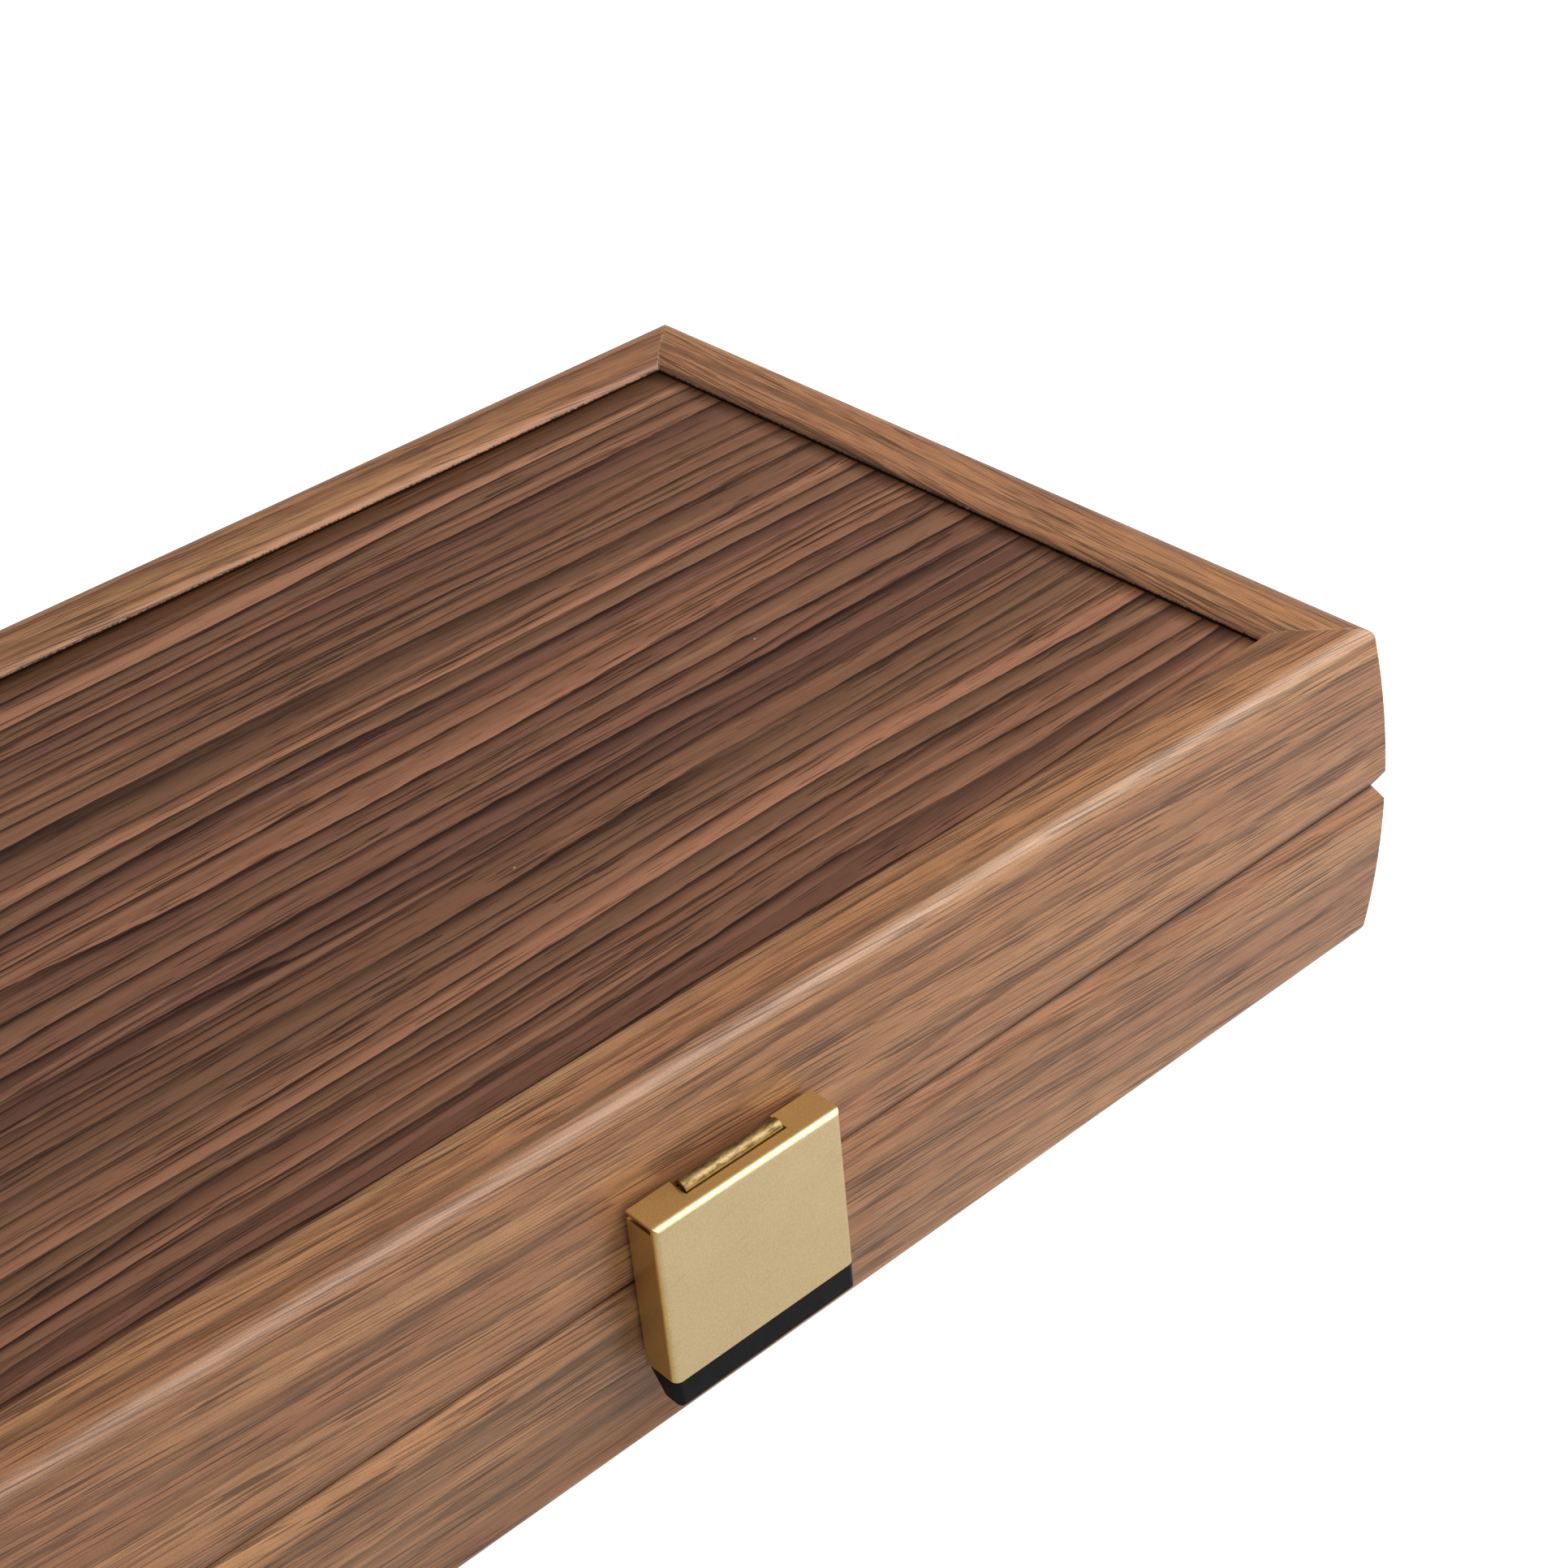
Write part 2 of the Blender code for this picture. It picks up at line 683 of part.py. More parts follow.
def clasp_block(place, parent):
    """The plastic body in the cover, its foot cut back below as a finger lip."""
    half = cover_width / 2
    front = -cover_proud
    back = -block_back
    top = cover_foot - block_gap
    low = top - lip_height
    lip_back = front + lip_depth
    plan = arc((-half + bend_radius, front + bend_radius), bend_radius, 180.0, 270.0, bend_steps)
    plan += arc((half - bend_radius, front + bend_radius), bend_radius, 270.0, 360.0, bend_steps)
    plan += [(half, back), (-half, back)]
    block = piece("clasp_block", prism(plan, "Z", low - overrun, top), PLASTIC, place, parent)
    side = [(front - overrun, top + overrun), (front - overrun, low), (lip_back, low), (back, top)]
    side += [(back + overrun, top), (back + overrun, top + overrun)]
    profile = prism(side, "X", -half - overrun, half + overrun)
    combine(block, "INTERSECT", cutter("block_side", profile, place))
    corners = arc((-half + lip_corner, low + lip_corner), lip_corner, 180.0, 270.0, corner_steps)
    corners += arc((half - lip_corner, low + lip_corner), lip_corner, 270.0, 360.0, corner_steps)
    corners += [(half + overrun, top - lip_corner), (half + overrun, top + overrun)]
    corners += [(-half - overrun, top + overrun), (-half - overrun, top - lip_corner)]
    face = prism(corners, "Y", front - overrun, back + overrun)
    combine(block, "INTERSECT", cutter("block_face", face, place))
    inner = half - sheet - block_gap
    inner_front = front + sheet + block_gap
    radius = bend_radius - sheet
    plan = arc((-inner + radius, inner_front + radius), radius, 180.0, 270.0, bend_steps)
    plan += arc((inner - radius, inner_front + radius), radius, 270.0, 360.0, bend_steps)
    plan += [(inner, back), (-inner, back)]
    body = prism(plan, "Z", top - sheet, block_top)
    combine(block, "UNION", cutter("block_body", body, place))
    pocket = bmesh.new()
    tall = magnet_height / 2 + block_gap
    wide = magnet_length / 2 + block_gap
    deep = magnet_thickness + block_gap
    levels = (magnet_level - tall, magnet_level + tall)
    add_box(pocket, (-wide, wide), (back - deep, back + overrun), levels)
    cut(block, cutter("block_pocket", pocket, place))
    magnet = bmesh.new()
    levels = (magnet_level - magnet_height / 2, magnet_level + magnet_height / 2)
    add_box(magnet, (-magnet_length / 2, magnet_length / 2), (back - magnet_thickness, back), levels)
    piece("clasp_magnet", magnet, MAGNET, place, parent)


def clasp_strike(place, rails, parent, screw):
    """The steel plate that the magnet holds to."""
    half = strike_width / 2
    tall = strike_height / 2
    outline = rounded(-half, half, magnet_level - tall, magnet_level + tall, strike_corner, corner_steps)
    plate_solid = prism(outline, "Y", -strike_out, -strike_out + strike_thickness)
    strike = piece("clasp_strike", plate_solid, STEEL, place, parent)
    spots = {}
    for i, way in enumerate((-1, 1)):
        across = way * strike_screw_spread / 2
        spots[f"clasp_strike_screw_{i + 1}"] = place @ at(across, -strike_out, magnet_level, 90.0, "X")
    place_screws(screw, flat_profile(screw_gap), spots, (strike, rails["lower"]["front"]), parent)


def build():
    """The whole case, shut."""
    clear_scene()
    base = pivot("lower_tray", at(0, mid_y, 0))
    lid = pivot("lid_axis", at(0, hinge_y, mid_z), base)
    flap = pivot("clasp_axis", at(0, front_y - curl_out, mid_z + curl_level), lid)
    parents = {"lower": base, "upper": lid}
    rails = {}
    for tray, up, flip in (("lower", -1, 180.0), ("upper", 1, 0.0)):
        rails[tray] = frame(tray, flip, parents[tray])
        plate(f"{tray}_outer_panel", panel_face - panel_face_gap, outer_thickness, PANEL, up, parents[tray])
        playing_field(tray, up, parents[tray])
    flat_screw = screw_mesh("flat_screw", flat_profile(0), 0)
    round_screw = screw_mesh("round_screw", round_profile(), round_head_height)
    hinge("left", -hinge_spread / 2, rails, parents, flat_screw)
    hinge("right", hinge_spread / 2, rails, parents, flat_screw)
    clasp_place = at(0, front_y, mid_z)
    clasp_bracket(clasp_place, rails, lid, round_screw)
    clasp_cover(clasp_place, flap)
    clasp_block(clasp_place, flap)
    clasp_strike(clasp_place, rails, base, flat_screw)


build()
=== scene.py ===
"""Looks of a folding backgammon case: foil-wrapped rails, striped panels, inlaid fields and brass.

The case lies shut, with its clasp to the front along -Y. Every size is in metres.
"""

import json
import math
from functools import partialmethod

import bmesh
import bpy
from bpy.props import FloatProperty, FloatVectorProperty, PointerProperty
from mathutils import Matrix, Vector

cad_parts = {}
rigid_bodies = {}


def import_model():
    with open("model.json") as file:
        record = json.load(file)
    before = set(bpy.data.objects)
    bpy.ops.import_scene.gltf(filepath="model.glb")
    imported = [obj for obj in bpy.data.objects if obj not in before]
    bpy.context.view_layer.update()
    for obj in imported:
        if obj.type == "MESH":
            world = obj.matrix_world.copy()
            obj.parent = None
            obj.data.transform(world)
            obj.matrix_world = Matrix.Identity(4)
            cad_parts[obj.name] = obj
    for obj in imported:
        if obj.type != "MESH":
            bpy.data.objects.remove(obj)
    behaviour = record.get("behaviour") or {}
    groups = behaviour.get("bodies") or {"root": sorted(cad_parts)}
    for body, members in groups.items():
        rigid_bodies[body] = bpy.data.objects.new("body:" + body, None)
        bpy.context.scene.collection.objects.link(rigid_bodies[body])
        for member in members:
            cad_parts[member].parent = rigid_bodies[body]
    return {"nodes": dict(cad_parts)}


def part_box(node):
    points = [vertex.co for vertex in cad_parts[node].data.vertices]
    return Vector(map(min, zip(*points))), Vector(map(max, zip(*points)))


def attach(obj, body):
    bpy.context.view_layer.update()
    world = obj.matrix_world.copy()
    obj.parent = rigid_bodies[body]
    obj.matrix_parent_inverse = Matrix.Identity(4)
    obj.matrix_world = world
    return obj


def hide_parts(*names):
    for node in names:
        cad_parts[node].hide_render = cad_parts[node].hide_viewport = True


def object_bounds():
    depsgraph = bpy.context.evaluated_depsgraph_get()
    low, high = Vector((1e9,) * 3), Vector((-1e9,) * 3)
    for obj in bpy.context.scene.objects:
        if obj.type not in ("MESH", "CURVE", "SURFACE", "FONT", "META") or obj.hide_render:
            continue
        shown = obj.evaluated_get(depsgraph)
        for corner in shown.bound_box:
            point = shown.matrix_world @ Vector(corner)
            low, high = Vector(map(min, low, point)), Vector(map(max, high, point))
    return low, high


bl_info = {
    "name": "Backgammon Case",
    "version": (1, 0, 0),
    "blender": (4, 5, 0),
    "location": "View3D > Sidebar > Case",
    "description": "Dresses a folding backgammon case in printed walnut, brass and steel",
    "category": "Object",
}

MM = 0.001
WHITE = (1.0, 1.0, 1.0)
# Points nearer than this are one point, and faces that turn less than this, in degrees, are one face
WELD = 0.001 * MM
FLAT_ANGLE = 0.3
# Edges that turn more than this, in degrees, stay sharp to the light
SHARP_ANGLE = 32.0
# How far a cutter reaches past what it cuts
OVERRUN = 1.0 * MM
# Where the curves of the lip and the crown are pulled to, as shares of their own drop and reach
LIP_DROP_SHARE = 0.45
LIP_REACH_SHARE = 0.35
CROWN_DROP_SHARE = 0.80
CROWN_REACH_SHARE = 0.50
# Steps of the outlines' round stretches
LIP_STEPS = 14
CROWN_STEPS = 18
FACE_STEPS = 14
BEND_STEPS = 12
CHANNEL_SIDES = 48
# Pieces that a rail is made of along its length, and how far the grain moves on from rail to rail
RAIL_STEPS = 12
GRAIN_STEP = 1.37
# How far the pale table reaches on each side of the case
TABLE_REACH = 4.0

for startup in list(bpy.data.objects):
    bpy.data.objects.remove(startup, do_unlink=True)

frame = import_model()
CAD_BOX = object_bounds()
TRAYS = (("lower", "lower_tray", -1), ("upper", "upper_tray", 1))


def length(name, description, default):
    """A size of the case that a user can change."""
    return FloatProperty(
        name=name, description=description, default=default, min=0.0, unit="LENGTH", subtype="DISTANCE"
    )


def colour(name, description, default):
    """A colour of the case that a user can change."""
    return FloatVectorProperty(
        name=name, description=description, default=default, size=3, min=0.0, max=1.0, subtype="COLOR"
    )


def view_angle(name, description, degrees):
    """An angle of the camera that a user can change."""
    return FloatProperty(
        name=name, description=description, default=math.radians(degrees), subtype="ANGLE"
    )


def light_power(name, description, default):
    """A strength of the light that a user can change."""
    return FloatProperty(name=name, description=description, default=default, min=0.0)


class CaseSizes(bpy.types.PropertyGroup):
    """Sizes that the frame doesn't give"""

    rail_width: length("Rail width", "Width of the moulding seen from above", 14.0 * MM)
    face_sag: length("Face sag", "How far the rail's face falls back at the top", 1.9 * MM)
    crown_in: length("Crown reach", "Where the rail's flat top starts to fall outwards", 5.6 * MM)
    crown_drop: length("Crown drop", "How far down the crown meets the face", 1.9 * MM)
    lip_in: length("Lip reach", "Width of the round fall towards the panel", 4.2 * MM)
    chamfer_depth: length("Groove depth", "Depth of the groove where the trays meet", 1.46 * MM)
    chamfer_height: length("Groove height", "Half the groove's height", 2.58 * MM)
    panel_recess: length("Panel recess", "How far the panel lies under the rail's top", 1.75 * MM)
    panel_groove: length("Panel groove", "Depth of the groove that holds the panels", 5.0 * MM)
    panel_gap: length("Panel gap", "Room between the playing field and its groove", 0.1 * MM)
    mitre_gap: length("Mitre gap", "Half the gap between two rails", 0.02 * MM)
    meeting_gap: length("Meeting gap", "Half the gap between the trays", 0.08 * MM)
    eased_edge: length("Eased edge", "Rounding of the moulding's sharp edges", 0.09 * MM)
    barrel_radius: length("Barrel radius", "Radius of the hinges' knuckles", 2.0 * MM)
    barrel_gap: length("Barrel gap", "Room round a hinge barrel", 0.3 * MM)
    leaf_thickness: length("Leaf thickness", "Thickness of a hinge leaf", 1.0 * MM)
    seat_gap: length("Seat gap", "Room round a hinge leaf in its seat", 0.1 * MM)
    sheet: length("Sheet", "Thickness of the clasp's brass", 0.5 * MM)
    bend_radius: length("Bend radius", "Outer radius of the cover's folds", 1.2 * MM)
    slit_height: length("Slit height", "Slit between the cover's top and sides", 0.8 * MM)
    curl_radius: length("Curl radius", "Outer radius of the rolled tongue", 1.2 * MM)
    curl_in: length("Curl place", "Curl's axis, in from the cover's back edge", 1.9 * MM)
    tongue_width: length("Tongue width", "Width of the rolled tongue", 16.8 * MM)
    tongue_gap: length("Tongue gap", "Room round the tongue in the cover's slot", 0.3 * MM)
    strip_width: length("Strip width", "Strip of the cover that the tongue holds", 0.8 * MM)
    cover_edge: length("Cover edge", "Rounding of the cover's sharp edges", 0.06 * MM)
    block_edge: length("Block edge", "Rounding of the block's edges", 0.12 * MM)
    magnet_edge: length("Magnet edge", "Rounding of the magnet's edges", 0.15 * MM)


class CaseColours(bpy.types.PropertyGroup):
    """Colours of the case's finishes"""

    foil: colour("Foil", "Main tone of the printed foil", (0.442, 0.203, 0.090))
    foil_light: colour("Foil light", "Light golden tone of the foil", (0.537, 0.278, 0.127))
    foil_pink: colour("Foil pink", "Reddish tone of the foil", (0.392, 0.171, 0.083))
    foil_olive: colour("Foil olive", "Grey-brown bands of the foil", (0.150, 0.086, 0.048))
    foil_dark: colour("Foil dark", "Dark streaks of the foil", (0.082, 0.034, 0.017))
    # A pale tone painted over the crown: partly the foil stretched pale, partly a painted highlight
    sheen: colour("Sheen", "Pale foil stretched over the rail's crown", (0.700, 0.480, 0.330))
    chip: colour("Chip", "Pale chips where the foil ends at the panel", (0.42, 0.38, 0.33))
    core: colour("Core", "Bare wood where the foil is cut", (0.42, 0.29, 0.17))
    # Painted shade: a dark colour laid into the gap and corner where the panel meets the rails
    gap_shade: colour("Grime", "Shade where the panel meets the rails", (0.045, 0.016, 0.006))
    panel: colour("Panel", "Main tone of the striped panel", (0.270, 0.120, 0.068))
    panel_light: colour("Panel light", "Light stripes of the panel", (0.380, 0.180, 0.103))
    panel_olive: colour("Panel olive", "Grey-brown stripes of the panel", (0.205, 0.101, 0.057))
    panel_dark: colour("Panel dark", "Dark stripes of the panel", (0.140, 0.062, 0.040))
    panel_line: colour("Panel line", "Thin dark lines of the panel", (0.018, 0.007, 0.006))
    speck: colour("Speck", "Rare pale specks on the panel", (0.55, 0.42, 0.33))
    field: colour("Field", "Playing field's veneer", (0.33, 0.185, 0.092))
    pale: colour("Pale points", "Pale inlaid points", (0.62, 0.43, 0.235))
    dark: colour("Dark points", "Dark inlaid points", (0.060, 0.026, 0.016))
    brass: colour("Brass", "Sheet brass of the clasp", (0.70, 0.545, 0.305))
    hinge: colour("Hinge brass", "Duller brass of the hinges", (0.40, 0.290, 0.143))
    steel: colour("Steel", "Screws, pins and strike plate", (0.52, 0.505, 0.475))
    nickel: colour("Nickel", "Magnet's plating", (0.40, 0.39, 0.37))
    plastic: colour("Plastic", "Clasp's block", (0.005, 0.005, 0.0055))
    floor: colour("Floor", "Pale table under the case", (0.80, 0.80, 0.80))


class CaseView(bpy.types.PropertyGroup):
    """Camera and light"""

    azimuth: view_angle("Azimuth", "Way the camera looks, from +Y towards +X", 39.13)
    elevation: view_angle("Elevation", "How far the camera looks down", 34.43)
    roll: view_angle("Roll", "Turn of the camera about its own axis", -5.39)
    place: FloatVectorProperty(
        name="Place", description="Where the camera stands",
        default=(-178.0 * MM, -322.3 * MM, 303.6 * MM), subtype="TRANSLATION", unit="LENGTH",
    )
    lens: FloatProperty(
        name="Lens", description="Focal length on a sensor 36 mm wide", default=69.4, min=1.0, unit="CAMERA"
    )
    sky: light_power("Sky", "Strength of the white room", 0.45)
    top_light: light_power("Top light", "Power of the light above", 5.6)
    front_light: light_power("Front light", "Power of the front light", 3.7)
    clear: light_power("Clear", "How far the table is cleared to white", 0.8)


def sizes():
    """The case's sizes, as the scene holds them."""
    return bpy.context.scene.case_sizes


def colours():
    """The colours of the case's finishes, as the scene holds them."""
    return bpy.context.scene.case_colours


class Case:
    """Where the case's main planes lie, read from the frame."""

    low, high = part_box("upper_front_rail")
    top = high.z
    middle = (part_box("lower_front_rail")[1].z + low.z) / 2
    tray = top - middle
    front = low.y
    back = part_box("upper_back_rail")[1].y
    half_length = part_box("upper_right_rail")[1].x
    mid_y = (front + back) / 2
    half_depth = (back - front) / 2
    hinge_y = (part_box("hinge_left_pin")[0].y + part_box("hinge_left_pin")[1].y) / 2


# Mesh tools


def add_object(name, data):
    """Puts a mesh, a light or a camera into the scene."""
    made = bpy.data.objects.new(name, data)
    bpy.context.scene.collection.objects.link(made)
    return made


def new_object(name, bm, place=None):
    """An object from a bmesh, with its faces pointing out."""
    bmesh.ops.recalc_face_normals(bm, faces=bm.faces)
    mesh = bpy.data.meshes.new(name)
    bm.to_mesh(mesh)
    bm.free()
    made = add_object(name, mesh)
    made.matrix_world = place or Matrix()
    return made


def at(x, y, z, turn=0.0):
    """A place, turned by some degrees about the upright axis."""
    return Matrix.Translation((x, y, z)) @ Matrix.Rotation(math.radians(turn), 4, "Z")


def apply_modifiers(made):
    """Turns what the object shows into its own mesh."""
    bpy.context.view_layer.update()
    graph = bpy.context.evaluated_depsgraph_get()
    seen = made.evaluated_get(graph)
    mesh = bpy.data.meshes.new_from_object(seen, preserve_all_data_layers=True, depsgraph=graph)
    made.modifiers.clear()
    old = made.data
    made.data = mesh
    bpy.data.meshes.remove(old)
    mesh.name = made.name


def boolean(target, operation, tool):
    """Cuts the target by a tool or trims it to the tool, which is then removed."""
    change = target.modifiers.new("shape", "BOOLEAN")
    change.operation = operation
    change.object = tool
    change.solver = "EXACT"
    apply_modifiers(target)
    bpy.data.objects.remove(tool, do_unlink=True)


def ease(made, width, angle=35.0):
    """Rounds the edges that turn by more than an angle, in degrees, to a small width."""
    bevel = made.modifiers.new("ease", "BEVEL")
    bevel.width = width
    bevel.segments = 2
    bevel.limit_method = "ANGLE"
    bevel.angle_limit = math.radians(angle)
    bevel.use_clamp_overlap = True
    bevel.miter_outer = "MITER_ARC"
    apply_modifiers(made)


def smooth(made):
    """Smooth shading that keeps flat faces flat and sharp edges sharp."""
    made.data.shade_smooth()
    made.data.set_sharp_from_angle(angle=math.radians(SHARP_ANGLE))
    weighted = made.modifiers.new("normals", "WEIGHTED_NORMAL")
    weighted.keep_sharp = True
    weighted.weight = 80
    apply_modifiers(made)


def weld(made):
    """Merges doubled points and drops points that shape nothing."""
    bm = bmesh.new()
    bm.from_mesh(made.data)
    bmesh.ops.remove_doubles(bm, verts=bm.verts, dist=WELD)
    flat = math.radians(FLAT_ANGLE)
    bmesh.ops.dissolve_limit(bm, angle_limit=flat, verts=bm.verts, edges=bm.edges)
    bm.to_mesh(made.data)
    bm.free()


def coat(made, *names):
    """Gives an object its finishes, in the order of its faces' material numbers."""
    for name in names:
        made.data.materials.append(finish(name))


def dress(made, body, node):
    """Puts a piece on its body and hides the CAD node that it stands for."""
    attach(made, body)
    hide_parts(node)


def arc(centre, radius, start, end, steps):
    """Points along an arc, from one angle in degrees to another."""
    points = []
    for i in range(steps + 1):
        turn = math.radians(start + (end - start) * i / steps)
        points.append((centre[0] + radius * math.cos(turn), centre[1] + radius * math.sin(turn)))
    return points


def curve(start, first, second, end, steps):
    """Points along a Bezier curve, without its start."""
    points = []
    corners = (start, first, second, end)
    for i in range(1, steps + 1):
        t = i / steps
        s = 1 - t
        weights = (s * s * s, 3 * s * s * t, 3 * s * t * t, t * t * t)
        points.append(tuple(sum(w * c[k] for w, c in zip(weights, corners)) for k in range(2)))
    return points


def ring_pairs(count):
    """Each point of a closed ring with the next one."""
    return [(i, (i + 1) % count) for i in range(count)]


def add_prism(bm, outline, along, low, high):
    """An outline drawn out along X or Z."""
    lower, upper = (
        [bm.verts.new((level, u, v) if along == "X" else (u, v, level)) for u, v in outline]
        for level in (low, high)
    )
    bm.faces.new(lower)
    bm.faces.new(upper)
    for i, j in ring_pairs(len(outline)):
        bm.faces.new((lower[i], lower[j], upper[j], upper[i]))


def prism(outline, along, low, high):
    """A mesh with one outline drawn out along an axis."""
    bm = bmesh.new()
    add_prism(bm, outline, along, low, high)
    return bm


def add_box(bm, x, y, z):
    """A block between two levels on each axis."""
    add_prism(bm, [(x[0], y[0]), (x[1], y[0]), (x[1], y[1]), (x[0], y[1])], "Z", z[0], z[1])


def add_copy(name, node, body, look, edge=0.0):
    """Adds a welded copy of a CAD node's mesh, smooth where it is round, with its finish and body."""
    mesh = frame["nodes"][node].data.copy()
    for attribute in ("custom_normal", "sharp_edge", "sharp_face"):
        if attribute in mesh.attributes:
            mesh.attributes.remove(mesh.attributes[attribute])
    mesh.materials.clear()
    made = add_object(name, mesh)
    weld(made)
    if edge:
        ease(made, edge)
    smooth(made)
    coat(made, look)
    dress(made, body, node)


def add_screws(name, node, body):
    """Adds the two screws of a plate."""
    for i in (1, 2):
        add_copy(f"{name}_{i}", f"{node}_{i}", body, "plated_steel")


# Node tools


def rgba(tone, factor=1.0, tint=WHITE):
    """A tone as a socket takes it, made lighter or darker by a factor and turned by a tint."""
    return (*(channel * factor * share for channel, share in zip(tone, tint)), 1.0)


class Nodes:
    """Adds nodes to a tree and links them, each call giving back the socket to use next."""

    def __init__(self, tree, shader=None):
        self.tree = tree
        self.shader = shader

    def put(self, socket, value):
        if isinstance(value, bpy.types.NodeSocket):
            self.tree.links.new(value, socket)
        else:
            socket.default_value = value

    def add(self, kind, values=None, **settings):
        made = self.tree.nodes.new(kind)
        for key, value in settings.items():
            setattr(made, key, value)
        for name, value in (values or {}).items():
            self.put(made.inputs[name], value)
        return made

    def maths(self, operation, *values, clamp=False):
        made = self.add("ShaderNodeMath", operation=operation, use_clamp=clamp)
        for socket, value in zip(made.inputs, values):
            self.put(socket, value)
        return made.outputs[0]

    plus = partialmethod(maths, "ADD")
    minus = partialmethod(maths, "SUBTRACT")
    times = partialmethod(maths, "MULTIPLY")
    over = partialmethod(maths, "DIVIDE")
    times_plus = partialmethod(maths, "MULTIPLY_ADD")
    absolute = partialmethod(maths, "ABSOLUTE")
    least = partialmethod(maths, "MINIMUM")
    most = partialmethod(maths, "MAXIMUM")

    def vector(self, operation, first, second):
        made = self.add("ShaderNodeVectorMath", operation=operation)
        self.put(made.inputs[0], first)
        self.put(made.inputs[1], second)
        return made.outputs["Value" if operation == "DOT_PRODUCT" else "Vector"]

    def split(self, vector):
        made = self.add("ShaderNodeSeparateXYZ", {"Vector": vector})
        return made.outputs["X"], made.outputs["Y"], made.outputs["Z"]

    def join(self, x=0.0, y=0.0, z=0.0):
        return self.add("ShaderNodeCombineXYZ", {"X": x, "Y": y, "Z": z}).outputs["Vector"]

    def place(self):
        """The surface's place in the case's own coordinates."""
        return self.add("ShaderNodeTexCoord").outputs["Object"]

    def noise(self, vector, scale, detail=2.0, roughness=0.5):
        values = {"Vector": vector, "Scale": scale, "Detail": detail, "Roughness": roughness}
        return self.add("ShaderNodeTexNoise", values, noise_dimensions="3D").outputs["Fac"]

    def remap(self, value, low, high, to_low=0.0, to_high=1.0, way="SMOOTHSTEP"):
        """A value carried from one range to another, softly at both ends."""
        values = {"Value": value, "From Min": low, "From Max": high, "To Min": to_low, "To Max": to_high}
        return self.add("ShaderNodeMapRange", values, interpolation_type=way, clamp=True).outputs["Result"]

    linear = partialmethod(remap, way="LINEAR")

    def blend(self, factor, first, second):
        made = self.add("ShaderNodeMix", data_type="RGBA", blend_type="MIX", clamp_factor=True)
        for index, value in ((0, factor), (6, first), (7, second)):
            self.put(made.inputs[index], value)
        return made.outputs[2]

    def paint(self, base, mask, cover, tone, factor=1.0):
        """Lays a tone over the base where the mask says."""
        return self.blend(self.times(mask, cover), base, rgba(tone, factor))

    def scale(self, base, factor):
        """Makes a colour lighter or darker by a factor."""
        return self.vector("MULTIPLY", base, self.join(factor, factor, factor))

    def ramp(self, factor, stops):
        made = self.add("ShaderNodeValToRGB", {"Fac": factor})
        elements = made.color_ramp.elements
        while len(elements) < len(stops):
            elements.new(1.0)
        for element, (place, tone) in zip(elements, stops):
            element.position = place
            element.color = tone
        return made.outputs["Color"]

    def effect(self, name, vector, **values):
        """A shared group by its name, with its own values."""
        group = bpy.data.node_groups.get(name) or new_group(name)
        made = self.add("ShaderNodeGroup", {"Vector": vector, **values}, node_tree=group)
        return made.outputs[0] if len(made.outputs) == 1 else made.outputs

    def layer(self, vector, low, high, **values):
        """A mask of streaks between two thresholds."""
        return self.remap(self.effect("Streaks", vector, **values), low, high)

    def feed(self, name, value):
        """Gives one of the shader's sockets a value."""
        self.put(self.shader.inputs[name], value)

    def surface(self, base, rough, height, depth, strength):
        """Gives the shader its colour, its roughness and a fine relief."""
        relief = self.add("ShaderNodeBump", {"Height": height, "Distance": depth, "Strength": strength})
        self.feed("Base Color", base)
        self.feed("Roughness", rough)
        self.feed("Normal", relief.outputs["Normal"])


def new_finish(name, roughness, metallic=0.0, **values):
    """A material with one Principled shader, and the tools to add nodes to it."""
    made = bpy.data.materials.new(f"{name}_finish")
    made.use_nodes = True
    shader = made.node_tree.nodes["Principled BSDF"]
    for key, value in {"Roughness": roughness, "Metallic": metallic, **values}.items():
        shader.inputs[key.replace("_", " ")].default_value = value
    return made, Nodes(made.node_tree, shader)


def add_socket(tree, name, in_out, default=None):
    """A socket of a group: a vector if its name says so, and else a number."""
    kind = "NodeSocketVector" if name == "Vector" else "NodeSocketFloat"
    made = tree.interface.new_socket(name=name, in_out=in_out, socket_type=kind)
    if default is not None:
        made.default_value = default


def new_group(name):
    """A shader group from its entry in GROUPS, with named inputs and outputs."""
    fill, inputs = GROUPS[name]
    tree = bpy.data.node_groups.new(name, "ShaderNodeTree")
    for socket, default in {"Vector": None, **inputs}.items():
        add_socket(tree, socket, "INPUT", default)
    n = Nodes(tree)
    results = fill(n, n.add("NodeGroupInput").outputs)
    for socket in results:
        add_socket(tree, socket, "OUTPUT")
    n.add("NodeGroupOutput", results)
    return tree


# Effects that several finishes share


def streaks_group(n, given):
    """Long soft streaks that run along X, of a length and a width in metres."""
    x, y, z = n.split(given["Vector"])
    along = n.plus(n.over(x, given["Length"]), given["Shift"])
    across = n.minus(n.over(y, given["Width"]), given["Shift"])
    deep = n.over(z, given["Width"])
    return {"Value": n.noise(n.join(along, across, deep), 1.0, given["Detail"])}


def pores_group(n, given):
    """Short dark pore marks that run along X, thicker in some patches."""
    vector, size, width, shift = (given[key] for key in ("Vector", "Length", "Width", "Shift"))
    fine = n.effect("Streaks", vector, Length=size, Width=width, Shift=shift, Detail=1.0)
    size = n.times(size, 4.0)
    width = n.times(width, 9.0)
    patch = n.effect("Streaks", vector, Length=size, Width=width, Shift=shift, Detail=2.0)
    start = n.times_plus(given["Cover"], -0.2, 0.77)
    start = n.times_plus(n.minus(patch, 0.5), -0.5, start)
    return {"Mask": n.remap(fine, start, n.plus(start, 0.05))}


